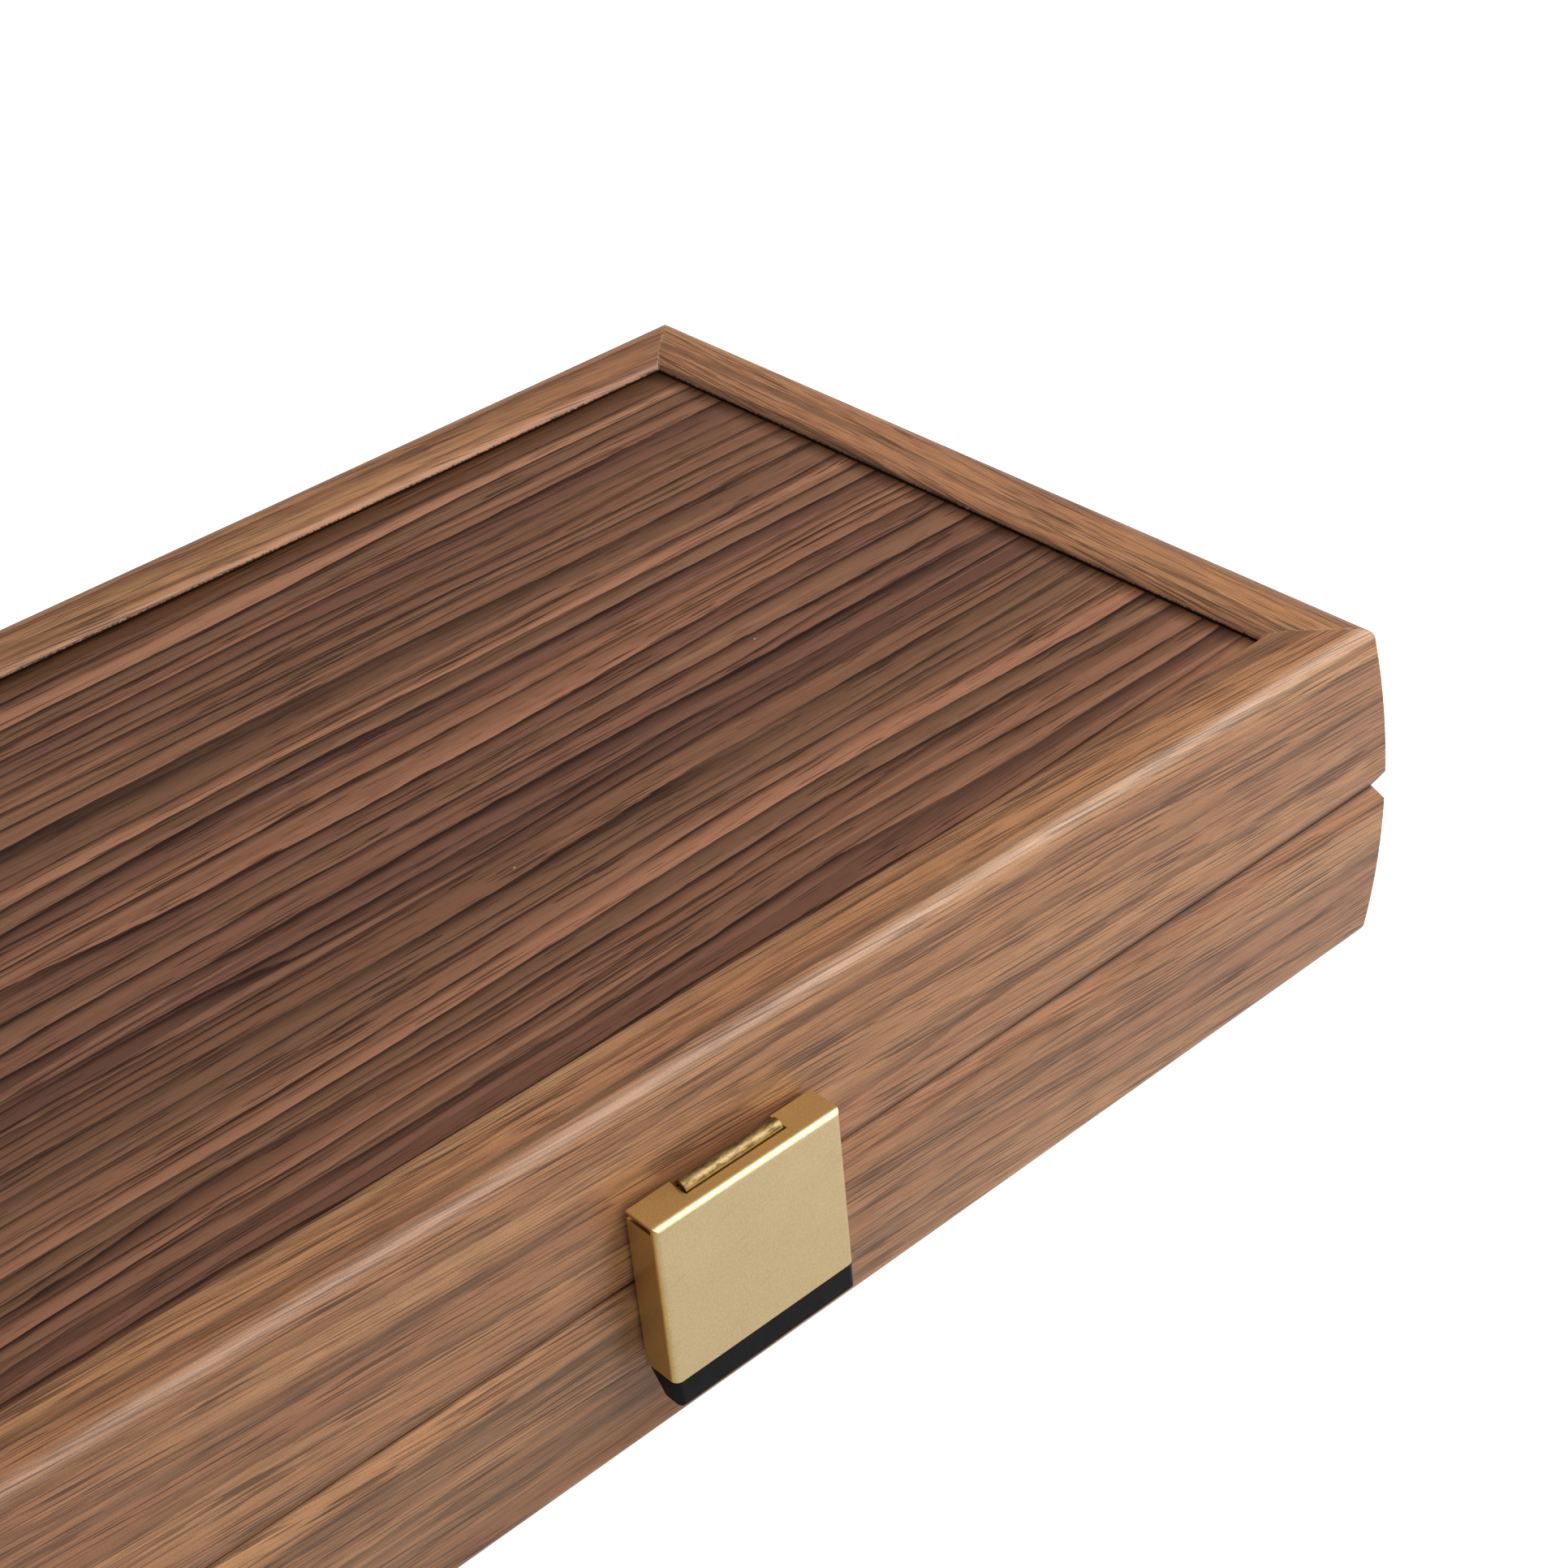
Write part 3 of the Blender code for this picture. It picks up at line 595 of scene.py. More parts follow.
def bands_group(n, given):
    """Growth bands along X: each with a random value, and a dark line at its far edge."""
    x, y, z = n.split(given["Vector"])
    across = n.over(y, given["Period"])
    deep = n.times_plus(z, 40.0, given["Shift"])

    def drift(reach, spread, detail):
        """Noise that changes over some reach along the grain, and by a spread from band to band."""
        return n.noise(n.join(n.over(x, reach), n.times(across, spread), deep), 1.0, detail)

    phase = across
    for wave, swing in (
        (drift(given["Reach"], 0.36, 1.0), given["Swell"]),
        (drift(0.026, 0.9, 2.0), 0.17),
        (drift(0.0048, 7.0, 2.0), 0.10),
    ):
        phase = n.times_plus(n.minus(wave, 0.5), swing, phase)
    cell = n.plus(n.maths("FLOOR", phase), given["Shift"])
    rise = n.maths("FRACT", phase)
    band = n.add("ShaderNodeTexWhiteNoise", {"W": cell}, noise_dimensions="1D")
    other = n.add("ShaderNodeTexWhiteNoise", {"W": n.plus(cell, 0.37)}, noise_dimensions="1D")
    soft = n.maths("POWER", n.linear(rise, 0.56, 0.965), 1.6)
    edge = n.times(soft, n.remap(rise, 0.972, 0.998, 1.0, 0.0))
    edge = n.times(edge, n.remap(drift(0.007, 13.0, 1.0), 0.30, 0.55, 0.70, 1.0))
    fade = n.noise(n.join(n.over(x, 0.045), cell, deep), 1.0, 1.0)
    dark = n.plus(n.times(other.outputs["Value"], 0.45), n.remap(fade, 0.3, 0.65, 0.35, 0.95))
    line = n.maths("MULTIPLY", edge, dark, clamp=True)
    return {"Band": band.outputs["Value"], "Line": line, "Rise": rise}


def waver_group(n, given):
    """Moves a grain's coordinates to the side, so that its streaks run in gentle waves."""
    x, y, z = n.split(given["Vector"])
    slow = n.noise(n.vector("MULTIPLY", given["Vector"], (5.0, 14.0, 30.0)), 1.0, 1.0)
    quick = n.noise(n.vector("MULTIPLY", given["Vector"], (26.0, 60.0, 30.0)), 1.0, 1.0)
    sway = n.times(n.minus(slow, 0.5), given["Sway"])
    sway = n.times_plus(n.minus(quick, 0.5), n.times(given["Sway"], 0.2), sway)
    side = n.plus(n.plus(y, sway), n.times(x, given["Tilt"]))
    return {"Vector": n.join(x, side, z)}


def print_group(n, given):
    """The fine grain of a printed film, about 1 all over."""
    fine = n.noise(given["Vector"], 3400.0, 1.0)
    broad = n.noise(n.vector("MULTIPLY", given["Vector"], (180.0, 420.0, 420.0)), 1.0, 2.0)
    both = n.plus(n.minus(fine, 0.5), n.times(n.minus(broad, 0.5), 0.8))
    return {"Factor": n.times_plus(both, given["Strength"], 1.0)}


def smudge_group(n, given):
    """Faint patches of handling on metal and plastic."""
    patch = n.vector("DIVIDE", given["Vector"], n.join(given["Size"], given["Size"], given["Size"]))
    return {"Value": n.remap(n.noise(patch, 1.0, 3.0, 0.6), 0.3, 0.7)}


GROUPS = {
    "Streaks": (streaks_group, {"Length": 0.1, "Width": 0.002, "Shift": 0.0, "Detail": 2.0}),
    "Pores": (pores_group, {"Length": 0.008, "Width": 0.0004, "Shift": 0.0, "Cover": 0.5}),
    "Bands": (bands_group, {"Period": 0.0036, "Reach": 0.15, "Swell": 2.4, "Shift": 0.0}),
    "Waver": (waver_group, {"Sway": 0.002, "Tilt": 0.0}),
    "Print": (print_group, {"Strength": 0.1}),
    "Smudge": (smudge_group, {"Size": 0.006}),
}


# Finishes


def lip_wear_and_shade(n, base, along, girth):
    """Pale chips where the foil ends at the panel, and a ragged dark line of painted shade in the gap
    there.
    """
    raggedness = 1.4 * MM
    line_width = 0.14 * MM
    chips_end = 0.45 * MM
    rag = n.noise(n.join(along, n.times(girth, 0.3), 0.0), 1300.0, 3.0, 0.7)
    level = n.minus(girth, n.times(n.minus(rag, 0.36), raggedness))
    black = n.remap(level, 0.0, line_width, 1.0, 0.0)
    chip = n.remap(n.noise(n.join(along, 0.0, 0.7), 520.0, 2.0), 0.62, 0.68)
    chip = n.times(chip, n.remap(level, line_width, chips_end, 1.0, 0.0))
    base = n.paint(base, chip, 0.8, colours().chip)
    # A ragged dark line of painted shade along the gap at the panel
    return n.paint(base, black, 0.9, colours().gap_shade, 0.5)


def meeting_shade(n, base, inset):
    """Painted shade in the groove where the trays meet, darkest at the meeting line, and the lower tray
    painted darker below its chamfer.
    """
    s = sizes()
    dark_line = (0.14 * MM, 0.55 * MM)
    meeting_face = (0.3 * MM, 1.3 * MM)
    face_room = 0.8 * MM
    fade = (s.chamfer_depth + 0.2 * MM, s.chamfer_depth + 0.6 * MM)
    level = n.minus(n.split(n.place())[2], Case.middle)
    reach = s.chamfer_height
    # Painted shade: the upper chamfer darker towards the line, the lower tray's face darker below its
    # chamfer
    over = n.linear(level, 0.0, reach, 0.74, 1.0)
    below = n.remap(level, -reach, -0.4 * reach, 0.83, 1.0)
    lower = n.maths("LESS_THAN", level, 0.0)
    side = n.plus(n.times(lower, below), n.times(n.minus(1.0, lower), over))
    away = n.absolute(level)
    line = n.remap(away, *dark_line, 0.45, 1.0)
    change = n.minus(n.times(side, line), 1.0)
    spared = n.minus(inset, n.remap(away, *meeting_face, 0.0, face_room))
    outside = n.remap(spared, *fade, 1.0, 0.0)
    return n.scale(base, n.times_plus(change, outside, 1.0))


def crown_mask(n, inset):
    """Where the foil over the rail's crown is painted pale: partly foil stretched there, partly a painted
    highlight.
    """
    s = sizes()
    level = n.absolute(n.minus(n.split(n.place())[2], Case.middle))
    above = n.remap(inset, 0.45 * s.crown_in, 0.85 * s.crown_in, 1.0, 0.0)
    beside = n.remap(level, Case.tray - 1.3 * s.crown_drop, Case.tray - 0.4 * s.crown_drop)
    return n.times(above, beside)


def walnut_foil():
    """Walnut printed on foil, wrapped round the rails, with its grain along each rail."""
    tone = colours()
    mitre_edge = (0.08 * MM, 0.38 * MM)
    lip_end = (3.0 * MM, 5.0 * MM)
    made, n = new_finish("walnut_foil", 0.34, Specular_IOR_Level=0.42, Coat_Roughness=0.44)
    flat = n.add("ShaderNodeUVMap", uv_map="grain").outputs["UV"]
    grain = n.effect("Waver", flat, Sway=0.006, Tilt=-0.014)
    leaning = n.effect("Waver", flat, Sway=0.004, Tilt=-0.060)
    golden = n.layer(grain, 0.42, 0.62, Length=0.18, Width=0.0075, Shift=3.1)
    base = n.paint(rgba(tone.foil), golden, 0.75, tone.foil_light)
    reddish = n.layer(grain, 0.44, 0.62, Length=0.15, Width=0.0085, Shift=9.7)
    base = n.paint(base, reddish, 0.75, tone.foil_pink)
    broad = n.effect("Bands", grain, Period=0.0074, Reach=0.15, Swell=2.2, Shift=5.0)
    base = n.scale(base, n.linear(broad["Band"], 0.0, 1.0, 0.84, 1.10))
    fibre = n.effect("Streaks", leaning, Length=0.0210, Width=0.00032, Shift=44.3)
    base = n.scale(base, n.linear(fibre, 0.30, 0.70, 0.84, 1.14))
    gold = n.layer(grain, 0.58, 0.72, Length=0.10, Width=0.0016, Shift=31.7)
    base = n.paint(base, gold, 0.34, tone.foil_light, 1.05)
    feather = n.layer(leaning, 0.35, 0.60, Length=0.005, Width=0.0003, Shift=37.9)
    olive = n.layer(grain, 0.54, 0.70, Length=0.24, Width=0.0032, Shift=17.3)
    olive = n.times(olive, n.linear(feather, 0.0, 1.0, 0.70, 1.0))
    base = n.paint(base, olive, 0.66, tone.foil_olive)
    base = n.paint(base, broad["Line"], 0.58, tone.foil_dark)
    close = n.effect("Bands", grain, Period=0.0030, Reach=0.09, Swell=2.4, Shift=21.0)
    patch = n.layer(grain, 0.46, 0.62, Length=0.07, Width=0.0080, Shift=71.3)
    lines = n.times(close["Line"], patch)
    base = n.paint(base, lines, 0.56, tone.foil_dark, 1.3)
    marks = n.effect("Pores", leaning, Length=0.0180, Width=0.00034, Shift=53.1, Cover=0.88)
    base = n.paint(base, marks, 0.78, tone.foil_dark)
    fine = n.effect("Pores", leaning, Length=0.0130, Width=0.00027, Shift=61.7, Cover=0.98)
    base = n.paint(base, fine, 0.58, tone.foil_dark, 1.3)
    along, girth, _ = n.split(flat)
    to_mitre, inset, _ = n.split(n.add("ShaderNodeUVMap", uv_map="seam").outputs["UV"])
    crown = crown_mask(n, inset)
    # Painted highlight on the crown, partly also the foil stretched pale there
    sheen = n.times(crown, n.remap(fibre, 0.36, 0.60, 0.30, 1.0))
    base = n.paint(base, sheen, 0.30, tone.sheen)
    dots = n.effect("Print", flat, Strength=0.42)
    base = n.scale(base, dots)
    base = lip_wear_and_shade(n, base, along, girth)
    base = meeting_shade(n, base, inset)
    chips = n.remap(n.noise(n.join(inset, to_mitre, 0.3), 700.0, 2.0), 0.42, 0.60)
    near = n.remap(to_mitre, *mitre_edge, 1.0, 0.0)
    base = n.paint(base, n.times(chips, near), 0.75, tone.core, 1.3)
    lip = n.remap(girth, *lip_end, 1.0, 0.0)
    rough = n.linear(n.plus(lines, marks), 0.0, 1.0, 0.31, 0.44)
    rough = n.plus(rough, n.times(n.most(crown, lip), 0.13))
    n.feed("Coat Weight", n.times(sheen, 0.36))
    height = n.minus(n.plus(dots, fibre), n.times(marks, 0.5))
    n.surface(base, rough, height, depth=0.035 * MM, strength=0.6)
    return made


def bare_core():
    """Bare softwood where the moulding is cut for a hinge."""
    made, n = new_finish("bare_core", 0.7)
    rings = n.layer(n.place(), 0.35, 0.7, Length=0.05, Width=0.0012, Shift=4.2)
    core = colours().core
    n.feed("Base Color", n.blend(rings, rgba(core), rgba(core, 0.72)))
    return made


def edge_shade(n, base, place):
    """Painted warm shade of the rails on the panel, weak behind the front rail, ending in a ragged dark
    line of painted shade.
    """
    start = 0.2 * MM
    raggedness = 0.9 * MM
    corner_line = (0.12 * MM, 0.50 * MM)
    x, y, _ = n.split(place)
    rim = sizes().rail_width
    side = n.minus(Case.half_length - rim, n.absolute(x))
    front = n.minus(y, Case.front + rim)
    back = n.minus(Case.back - rim, y)
    # Painted shade: the panel darkened and warmed near each rail, least behind the front rail
    for distance, reach, tone in (
        (side, 4.0 * MM, (0.26, 0.18, 0.08)),
        (back, 7.5 * MM, (0.42, 0.30, 0.15)),
        (front, 3.2 * MM, (0.92, 0.87, 0.80)),
    ):
        shade = n.linear(distance, start, reach, 1.0, 0.0)
        base = n.vector("MULTIPLY", base, n.blend(shade, rgba(WHITE), rgba(tone)))
    # A ragged line of painted shade in the corner where the panel meets the rails
    rag = n.times(n.minus(n.noise(place, 700.0, 3.0), 0.5), raggedness)
    near = n.least(n.least(side, back), front)
    corner = n.remap(n.plus(near, rag), *corner_line, 1.0, 0.0)
    return n.blend(corner, base, rgba(colours().gap_shade, 0.25))


def specks(n, place):
    """Rare pin-head specks."""
    dots = n.add("ShaderNodeTexVoronoi", {"Vector": place, "Scale": 190.0})
    chosen = n.remap(n.split(dots.outputs["Color"])[0], 0.93, 0.94)
    return n.times(chosen, n.remap(dots.outputs["Distance"], 0.025, 0.045, 1.0, 0.0))


def striped_walnut():
    """Dark striped walnut, its stripes along the case."""
    tone = colours()
    made, n = new_finish("striped_walnut", 0.46, Specular_IOR_Level=0.13)
    place = n.place()
    grain = n.effect("Waver", place, Sway=0.006, Tilt=-0.012)
    broad = n.effect("Bands", grain, Period=0.0048, Reach=0.17, Swell=2.4, Shift=2.0)
    base = n.ramp(broad["Band"], [
        (0.00, rgba(tone.panel_dark, 1.10)),
        (0.10, rgba(tone.panel_dark, 1.25)),
        (0.24, rgba(tone.panel, 0.92)),
        (0.50, rgba(tone.panel_olive)),
        (0.74, rgba(tone.panel)),
        (0.90, rgba(tone.panel, 1.2)),
        (1.00, rgba(tone.panel_light)),
    ])
    base = n.scale(base, n.linear(broad["Rise"], 0.0, 0.9, 1.12, 0.84))
    narrow = n.effect("Bands", grain, Period=0.0024, Reach=0.10, Swell=2.6, Shift=11.0)
    base = n.scale(base, n.linear(narrow["Band"], 0.0, 1.0, 0.80, 1.20))
    pink = n.layer(grain, 0.60, 0.68, Length=0.12, Width=0.0018, Shift=8.9)
    base = n.paint(base, pink, 0.46, tone.panel_light)
    patch = n.layer(grain, 0.42, 0.56, Length=0.10, Width=0.006, Shift=14.7)
    base = n.paint(base, n.times(narrow["Line"], patch), 0.86, tone.panel_line, 1.3)
    base = n.paint(base, broad["Line"], 0.90, tone.panel_line)
    marks = n.effect("Pores", grain, Length=0.012, Width=0.00042, Shift=39.1, Cover=0.60)
    base = n.paint(base, marks, 0.65, tone.panel_line)
    fine = n.effect("Pores", grain, Length=0.008, Width=0.00026, Shift=47.3, Cover=0.80)
    base = n.paint(base, fine, 0.38, tone.panel_line, 1.5)
    dots = n.effect("Print", place, Strength=0.14)
    base = n.scale(base, dots)
    base = n.paint(base, specks(n, place), 0.8, tone.speck)
    base = edge_shade(n, base, place)
    rough = n.linear(n.plus(broad["Line"], marks), 0.0, 1.0, 0.44, 0.58)
    n.surface(base, rough, n.minus(dots, n.times(marks, 0.6)), depth=0.03 * MM, strength=0.6)
    return made


def veneer(name, tone, darker, shift):
    """A quiet veneer for the playing field and its points, with its grain along the case."""
    made, n = new_finish(name, 0.44, Specular_IOR_Level=0.25)
    place = n.place()
    grain = n.effect("Waver", place, Sway=0.004, Tilt=0.004)
    broad = n.layer(grain, 0.36, 0.66, Length=0.14, Width=0.006, Shift=shift)
    base = n.blend(broad, rgba(tone), rgba(tone, darker))
    lines = n.layer(grain, 0.46, 0.74, Length=0.06, Width=0.0012, Shift=shift + 5.5)
    base = n.paint(base, lines, 0.45, tone, darker ** 2)
    marks = n.effect("Pores", grain, Length=0.006, Width=0.00026, Shift=shift + 11.5, Cover=0.42)
    base = n.paint(base, marks, 0.55, tone, darker ** 3)
    base = n.scale(base, n.effect("Print", place, Strength=0.10))
    rough = n.linear(marks, 0.0, 1.0, 0.42, 0.58)
    n.surface(base, rough, n.minus(1.0, marks), depth=0.02 * MM, strength=0.5)
    return made


def sheet_brass():
    """Satin brass, finely brushed up and down, with fine scratches and pits."""
    tone = colours().brass
    made, n = new_finish("sheet_brass", 0.33, 1.0)
    place = n.place()
    x, y, z = n.split(place)
    level = n.plus(x, y)
    brush = n.noise(n.join(level, n.times(z, 0.035)), 7000.0, 3.0, 0.6)
    smudge = n.effect("Smudge", place, Size=0.007)
    pits = n.remap(n.noise(place, 1500.0, 1.0), 0.68, 0.76)
    drawn = n.join(n.times_plus(z, 0.4, level), n.times_plus(level, -0.3, z))
    scratches = n.layer(drawn, 0.74, 0.79, Length=0.009, Width=0.00022, Shift=71.3, Detail=0.0)
    scratches = n.times(scratches, smudge)
    base = n.paint(rgba(tone), smudge, 0.25, tone, 0.88)
    base = n.paint(base, pits, 0.4, tone, 0.6)
    base = n.paint(base, scratches, 0.45, tone, 0.5)
    low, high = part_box("clasp_cover")
    fold_start = 0.5 * MM
    fold_end = 0.2 * MM
    # The side and top flanges painted darker and warmer: a painted reflection of the wood round the clasp
    sides = n.remap(n.absolute(x), high.x - fold_start, high.x - fold_end)
    base = n.blend(sides, base, rgba(tone, tint=(0.95, 0.85, 0.55)))
    behind = n.remap(y, low.y + 0.5 * MM, low.y + 1.3 * MM)
    flange = n.times(n.remap(z, high.z - fold_start, high.z - fold_end), behind)
    base = n.blend(flange, base, rgba(tone, tint=(0.98, 0.84, 0.56)))
    # The rolled tongue painted darker and mottled: partly its worn patches, partly painted shade that dims
    # its highlight
    rolled = n.remap(z, high.z + 0.10 * MM, high.z + 0.25 * MM)
    wear_and_shade = n.remap(n.noise(n.join(n.times(x, 0.4), y, z), 1300.0, 3.0, 0.7), 0.35, 0.62)
    dull = n.blend(wear_and_shade, rgba(tone, tint=(0.22, 0.19, 0.13)), rgba(tone, tint=(0.55, 0.50, 0.40)))
    base = n.blend(rolled, base, dull)
    grit = n.noise(place, 3000.0, 2.0, 0.7)
    base = n.scale(base, n.linear(grit, 0.3, 0.7, 0.90, 1.10))
    rough = n.plus(n.linear(brush, 0.3, 0.7, 0.30, 0.42), n.times(smudge, 0.05))
    rough = n.plus(rough, n.times(rolled, 0.12))
    height = n.minus(brush, n.times(n.plus(pits, scratches), 1.5))
    n.surface(base, rough, n.plus(height, grit), depth=0.009 * MM, strength=0.8)
    return made


def plain_metal(name, tone, roughness):
    """Satin metal with faint handling marks."""
    made, n = new_finish(name, roughness, 1.0)
    place = n.place()
    smudge = n.effect("Smudge", place, Size=0.003)
    base = n.blend(smudge, rgba(tone), rgba(tone, 0.85))
    rough = n.linear(smudge, 0.0, 1.0, roughness, roughness + 0.12)
    n.surface(base, rough, n.noise(place, 2500.0, 2.0), depth=0.004 * MM, strength=0.5)
    return made


def black_plastic():
    """Moulded black plastic with a soft gloss."""
    tone = colours().plastic
    made, n = new_finish("black_plastic", 0.28, Specular_IOR_Level=0.08)
    place = n.place()
    smudge = n.effect("Smudge", place, Size=0.004)
    base = n.blend(smudge, rgba(tone), rgba(tone, 1.5))
    rough = n.linear(smudge, 0.0, 1.0, 0.20, 0.32)
    n.surface(base, rough, n.noise(place, 1800.0, 2.0), depth=0.005 * MM, strength=0.5)
    return made


def pale_floor():
    """A pale table, cleared to white in the picture."""
    tone = colours().floor
    made, n = new_finish("pale_floor", 0.75, Specular_IOR_Level=0.2)
    base = n.blend(n.noise(n.place(), 3.0, 2.0), rgba(tone, 0.99), rgba(tone, 1.01))
    n.feed("Base Color", base)
    n.feed("Emission Color", rgba(WHITE))
    seen = n.add("ShaderNodeLightPath").outputs["Is Camera Ray"]
    clear = bpy.context.scene.case_view.clear
    n.feed("Emission Strength", n.times(seen, clear))
    return made


FINISHES = {
    "walnut_foil": walnut_foil,
    "bare_core": bare_core,
    "striped_walnut": striped_walnut,
    "playing_field": lambda: veneer("playing_field", colours().field, 0.78, 1.7),
    "pale_veneer": lambda: veneer("pale_veneer", colours().pale, 0.84, 6.3),
    "dark_veneer": lambda: veneer("dark_veneer", colours().dark, 0.66, 12.9),
    "sheet_brass": sheet_brass,
    "hinge_brass": lambda: plain_metal("hinge_brass", colours().hinge, 0.50),
    "plated_steel": lambda: plain_metal("plated_steel", colours().steel, 0.28),
    "magnet_nickel": lambda: plain_metal("magnet_nickel", colours().nickel, 0.36),
    "black_plastic": black_plastic,
    "pale_floor": pale_floor,
}


def finish(name):
    """A finish by its name, made on its first use."""
    return bpy.data.materials.get(f"{name}_finish") or FINISHES[name]()


def repaint(node, name):
    """Gives a CAD node, whose shape stays as it is, a finish."""
    for place in frame["nodes"][node].material_slots:
        place.material = finish(name)


# Rails


def rail_section():
    """The moulding's outline as distance in from its face and height from the meeting plane.

    It starts at the panel, goes over the top and down the face to the groove where the trays
    meet, and comes back under the playing field.
    """
    s = sizes()
    top = Case.tray

    def face(height):
        return s.face_sag * (height / top) ** 2

    panel = top - s.panel_recess
    points = [(s.rail_width, panel)]
    under = (s.rail_width, top - LIP_DROP_SHARE * s.panel_recess)
    over = (s.rail_width - LIP_REACH_SHARE * s.lip_in, top)
    points += curve(points[0], under, over, (s.rail_width - s.lip_in, top), LIP_STEPS)
    start = (s.crown_in, top)
    points.append(start)
    end_height = top - s.crown_drop
    lean = 2 * s.face_sag * end_height / top ** 2
    end = (face(end_height), end_height)
    pull = s.crown_drop * CROWN_DROP_SHARE
    upper = (s.crown_in * CROWN_REACH_SHARE, top)
    outer = (end[0] + lean * pull, end_height + pull)
    points += curve(start, upper, outer, end, CROWN_STEPS)
    for i in range(1, FACE_STEPS + 1):
        height = end_height + (s.chamfer_height - end_height) * i / FACE_STEPS
        points.append((face(height), height))
    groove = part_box("upper_play_panel")[0].z - Case.middle - s.panel_gap
    back = s.rail_width - s.panel_groove
    points += [(s.chamfer_depth, s.meeting_gap), (s.rail_width, s.meeting_gap)]
    points += [(s.rail_width, groove), (back, groove), (back, panel)]
    return points


def moulding(name, half, place, shift):
    """One rail along its own X with its grain laid out flat, and mitred ends."""
    section = rail_section()
    gap = sizes().mitre_gap
    bm = bmesh.new()
    grain = bm.loops.layers.uv.new("grain")
    seam = bm.loops.layers.uv.new("seam")
    rings = []
    for k in range(RAIL_STEPS + 1):
        share = 2 * k / RAIL_STEPS - 1
        rings.append([bm.verts.new((share * (half - d - gap), d, h)) for d, h in section])
    girth = [0.0]
    for a, b in zip(section, section[1:] + section[:1]):
        girth.append(girth[-1] + math.dist(a, b))

    def lay(face, rounds):
        for loop, around in zip(face.loops, rounds):
            x, d, _ = loop.vert.co
            loop[grain].uv = (x + shift, around)
            loop[seam].uv = (half - d - abs(x), d)

    for first, second in zip(rings, rings[1:]):
        for i, j in ring_pairs(len(section)):
            face = bm.faces.new((first[i], first[j], second[j], second[i]))
            lay(face, (girth[i], girth[i + 1], girth[i + 1], girth[i]))
    for ring in (rings[0], rings[-1]):
        face = bm.faces.new(ring)
        lay(face, [vert.co.z for vert in ring])
    made = new_object(name, bm, place)
    coat(made, "walnut_foil", "bare_core")
    ease(made, sizes().eased_edge, angle=40.0)
    return made


def settle(made):
    """Puts an object's place into its mesh."""
    bpy.context.view_layer.update()
    made.data.transform(made.matrix_world)
    made.matrix_world = Matrix()


def hinge_seats(tray, up):
    """What is cut from a back rail for the leaves of its two hinges."""
    s = sizes()
    bm = bmesh.new()
    for side in ("left", "right"):
        low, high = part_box(f"hinge_{side}_{tray}_leaf")
        x = (low.x - s.seat_gap, high.x + s.seat_gap)
        screw_low, screw_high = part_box(f"hinge_{side}_{tray}_screw_1")
        plate = screw_high.z if up < 0 else screw_low.z
        depth = abs(plate - Case.middle) + s.leaf_thickness + s.seat_gap
        z = sorted((Case.middle - up * OVERRUN, Case.middle + up * depth))
        add_box(bm, x, (low.y - s.seat_gap, Case.back + OVERRUN), z)
    return bm


def hinge_channels():
    """The round channels for the hinge barrels."""
    s = sizes()
    bm = bmesh.new()
    last = 360.0 - 360.0 / CHANNEL_SIDES
    for side in ("left", "right"):
        low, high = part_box(f"hinge_{side}_pin")
        radius = s.barrel_radius + s.barrel_gap
        circle = arc((Case.hinge_y, Case.middle), radius, 0.0, last, CHANNEL_SIDES - 1)
        add_prism(bm, circle, "X", low.x - s.barrel_gap, high.x + s.barrel_gap)
    return bm


def core_cutter(name, bm):
    """A cutter that leaves bare wood where it cuts."""
    tool = new_object(name, bm)
    coat(tool, "walnut_foil", "bare_core")
    for face in tool.data.polygons:
        face.material_index = 1
    return tool


class CASE_OT_rails(bpy.types.Operator):
    """Adds the eight mitred rails of printed foil"""

    bl_idname = "case.rails"
    bl_label = "Rails"

    def execute(self, context):
        spots = {
            "front": (Case.half_length, at(0, Case.front, Case.middle)),
            "right": (Case.half_depth, at(Case.half_length, Case.mid_y, Case.middle, 90.0)),
            "back": (Case.half_length, at(0, Case.back, Case.middle, 180.0)),
            "left": (Case.half_depth, at(-Case.half_length, Case.mid_y, Case.middle, -90.0)),
        }
        for row, (tray, body, up) in enumerate(TRAYS):
            over = Matrix.Rotation(0.0 if up > 0 else math.pi, 4, "Y")
            for column, (side, (half, place)) in enumerate(spots.items()):
                shift = GRAIN_STEP * (row * len(spots) + column)
                made = moulding(f"{tray}_{side}_moulding", half, place @ over, shift)
                settle(made)
                if side == "back":
                    boolean(made, "DIFFERENCE", core_cutter("seats", hinge_seats(tray, up)))
                    boolean(made, "DIFFERENCE", core_cutter("channels", hinge_channels()))
                smooth(made)
                dress(made, body, f"{tray}_{side}_rail")
        return {"FINISHED"}


class CASE_OT_panels(bpy.types.Operator):
    """Finishes the striped outer panels, the playing fields and their inlaid points"""

    bl_idname = "case.panels"
    bl_label = "Panels and points"

    def execute(self, context):
        for tray, _, up in TRAYS:
            repaint(f"{tray}_outer_panel", "striped_walnut")
            repaint(f"{tray}_play_panel", "playing_field")
            for row, side in enumerate(("left", "right")):
                for i in range(6):
                    kind = ("dark_veneer", "pale_veneer")[(i + row + (up > 0)) % 2]
                    repaint(f"{tray}_point_{side}_{i + 1}", kind)
        return {"FINISHED"}


class CASE_OT_hinges(bpy.types.Operator):
    """Adds the two butt hinges with their pins and screws"""

    bl_idname = "case.hinges"
    bl_label = "Hinges"

    def execute(self, context):
        for side in ("left", "right"):
            for tray, body, _ in TRAYS:
                leaf = f"hinge_{side}_{tray}_leaf"
                add_copy(f"{side}_{tray}_hinge_leaf", leaf, body, "hinge_brass")
                add_screws(f"{side}_{tray}_hinge_screw", f"hinge_{side}_{tray}_screw", body)
            add_copy(f"{side}_hinge_wire", f"hinge_{side}_pin", "lower_tray", "plated_steel")
        return {"FINISHED"}


# Clasp


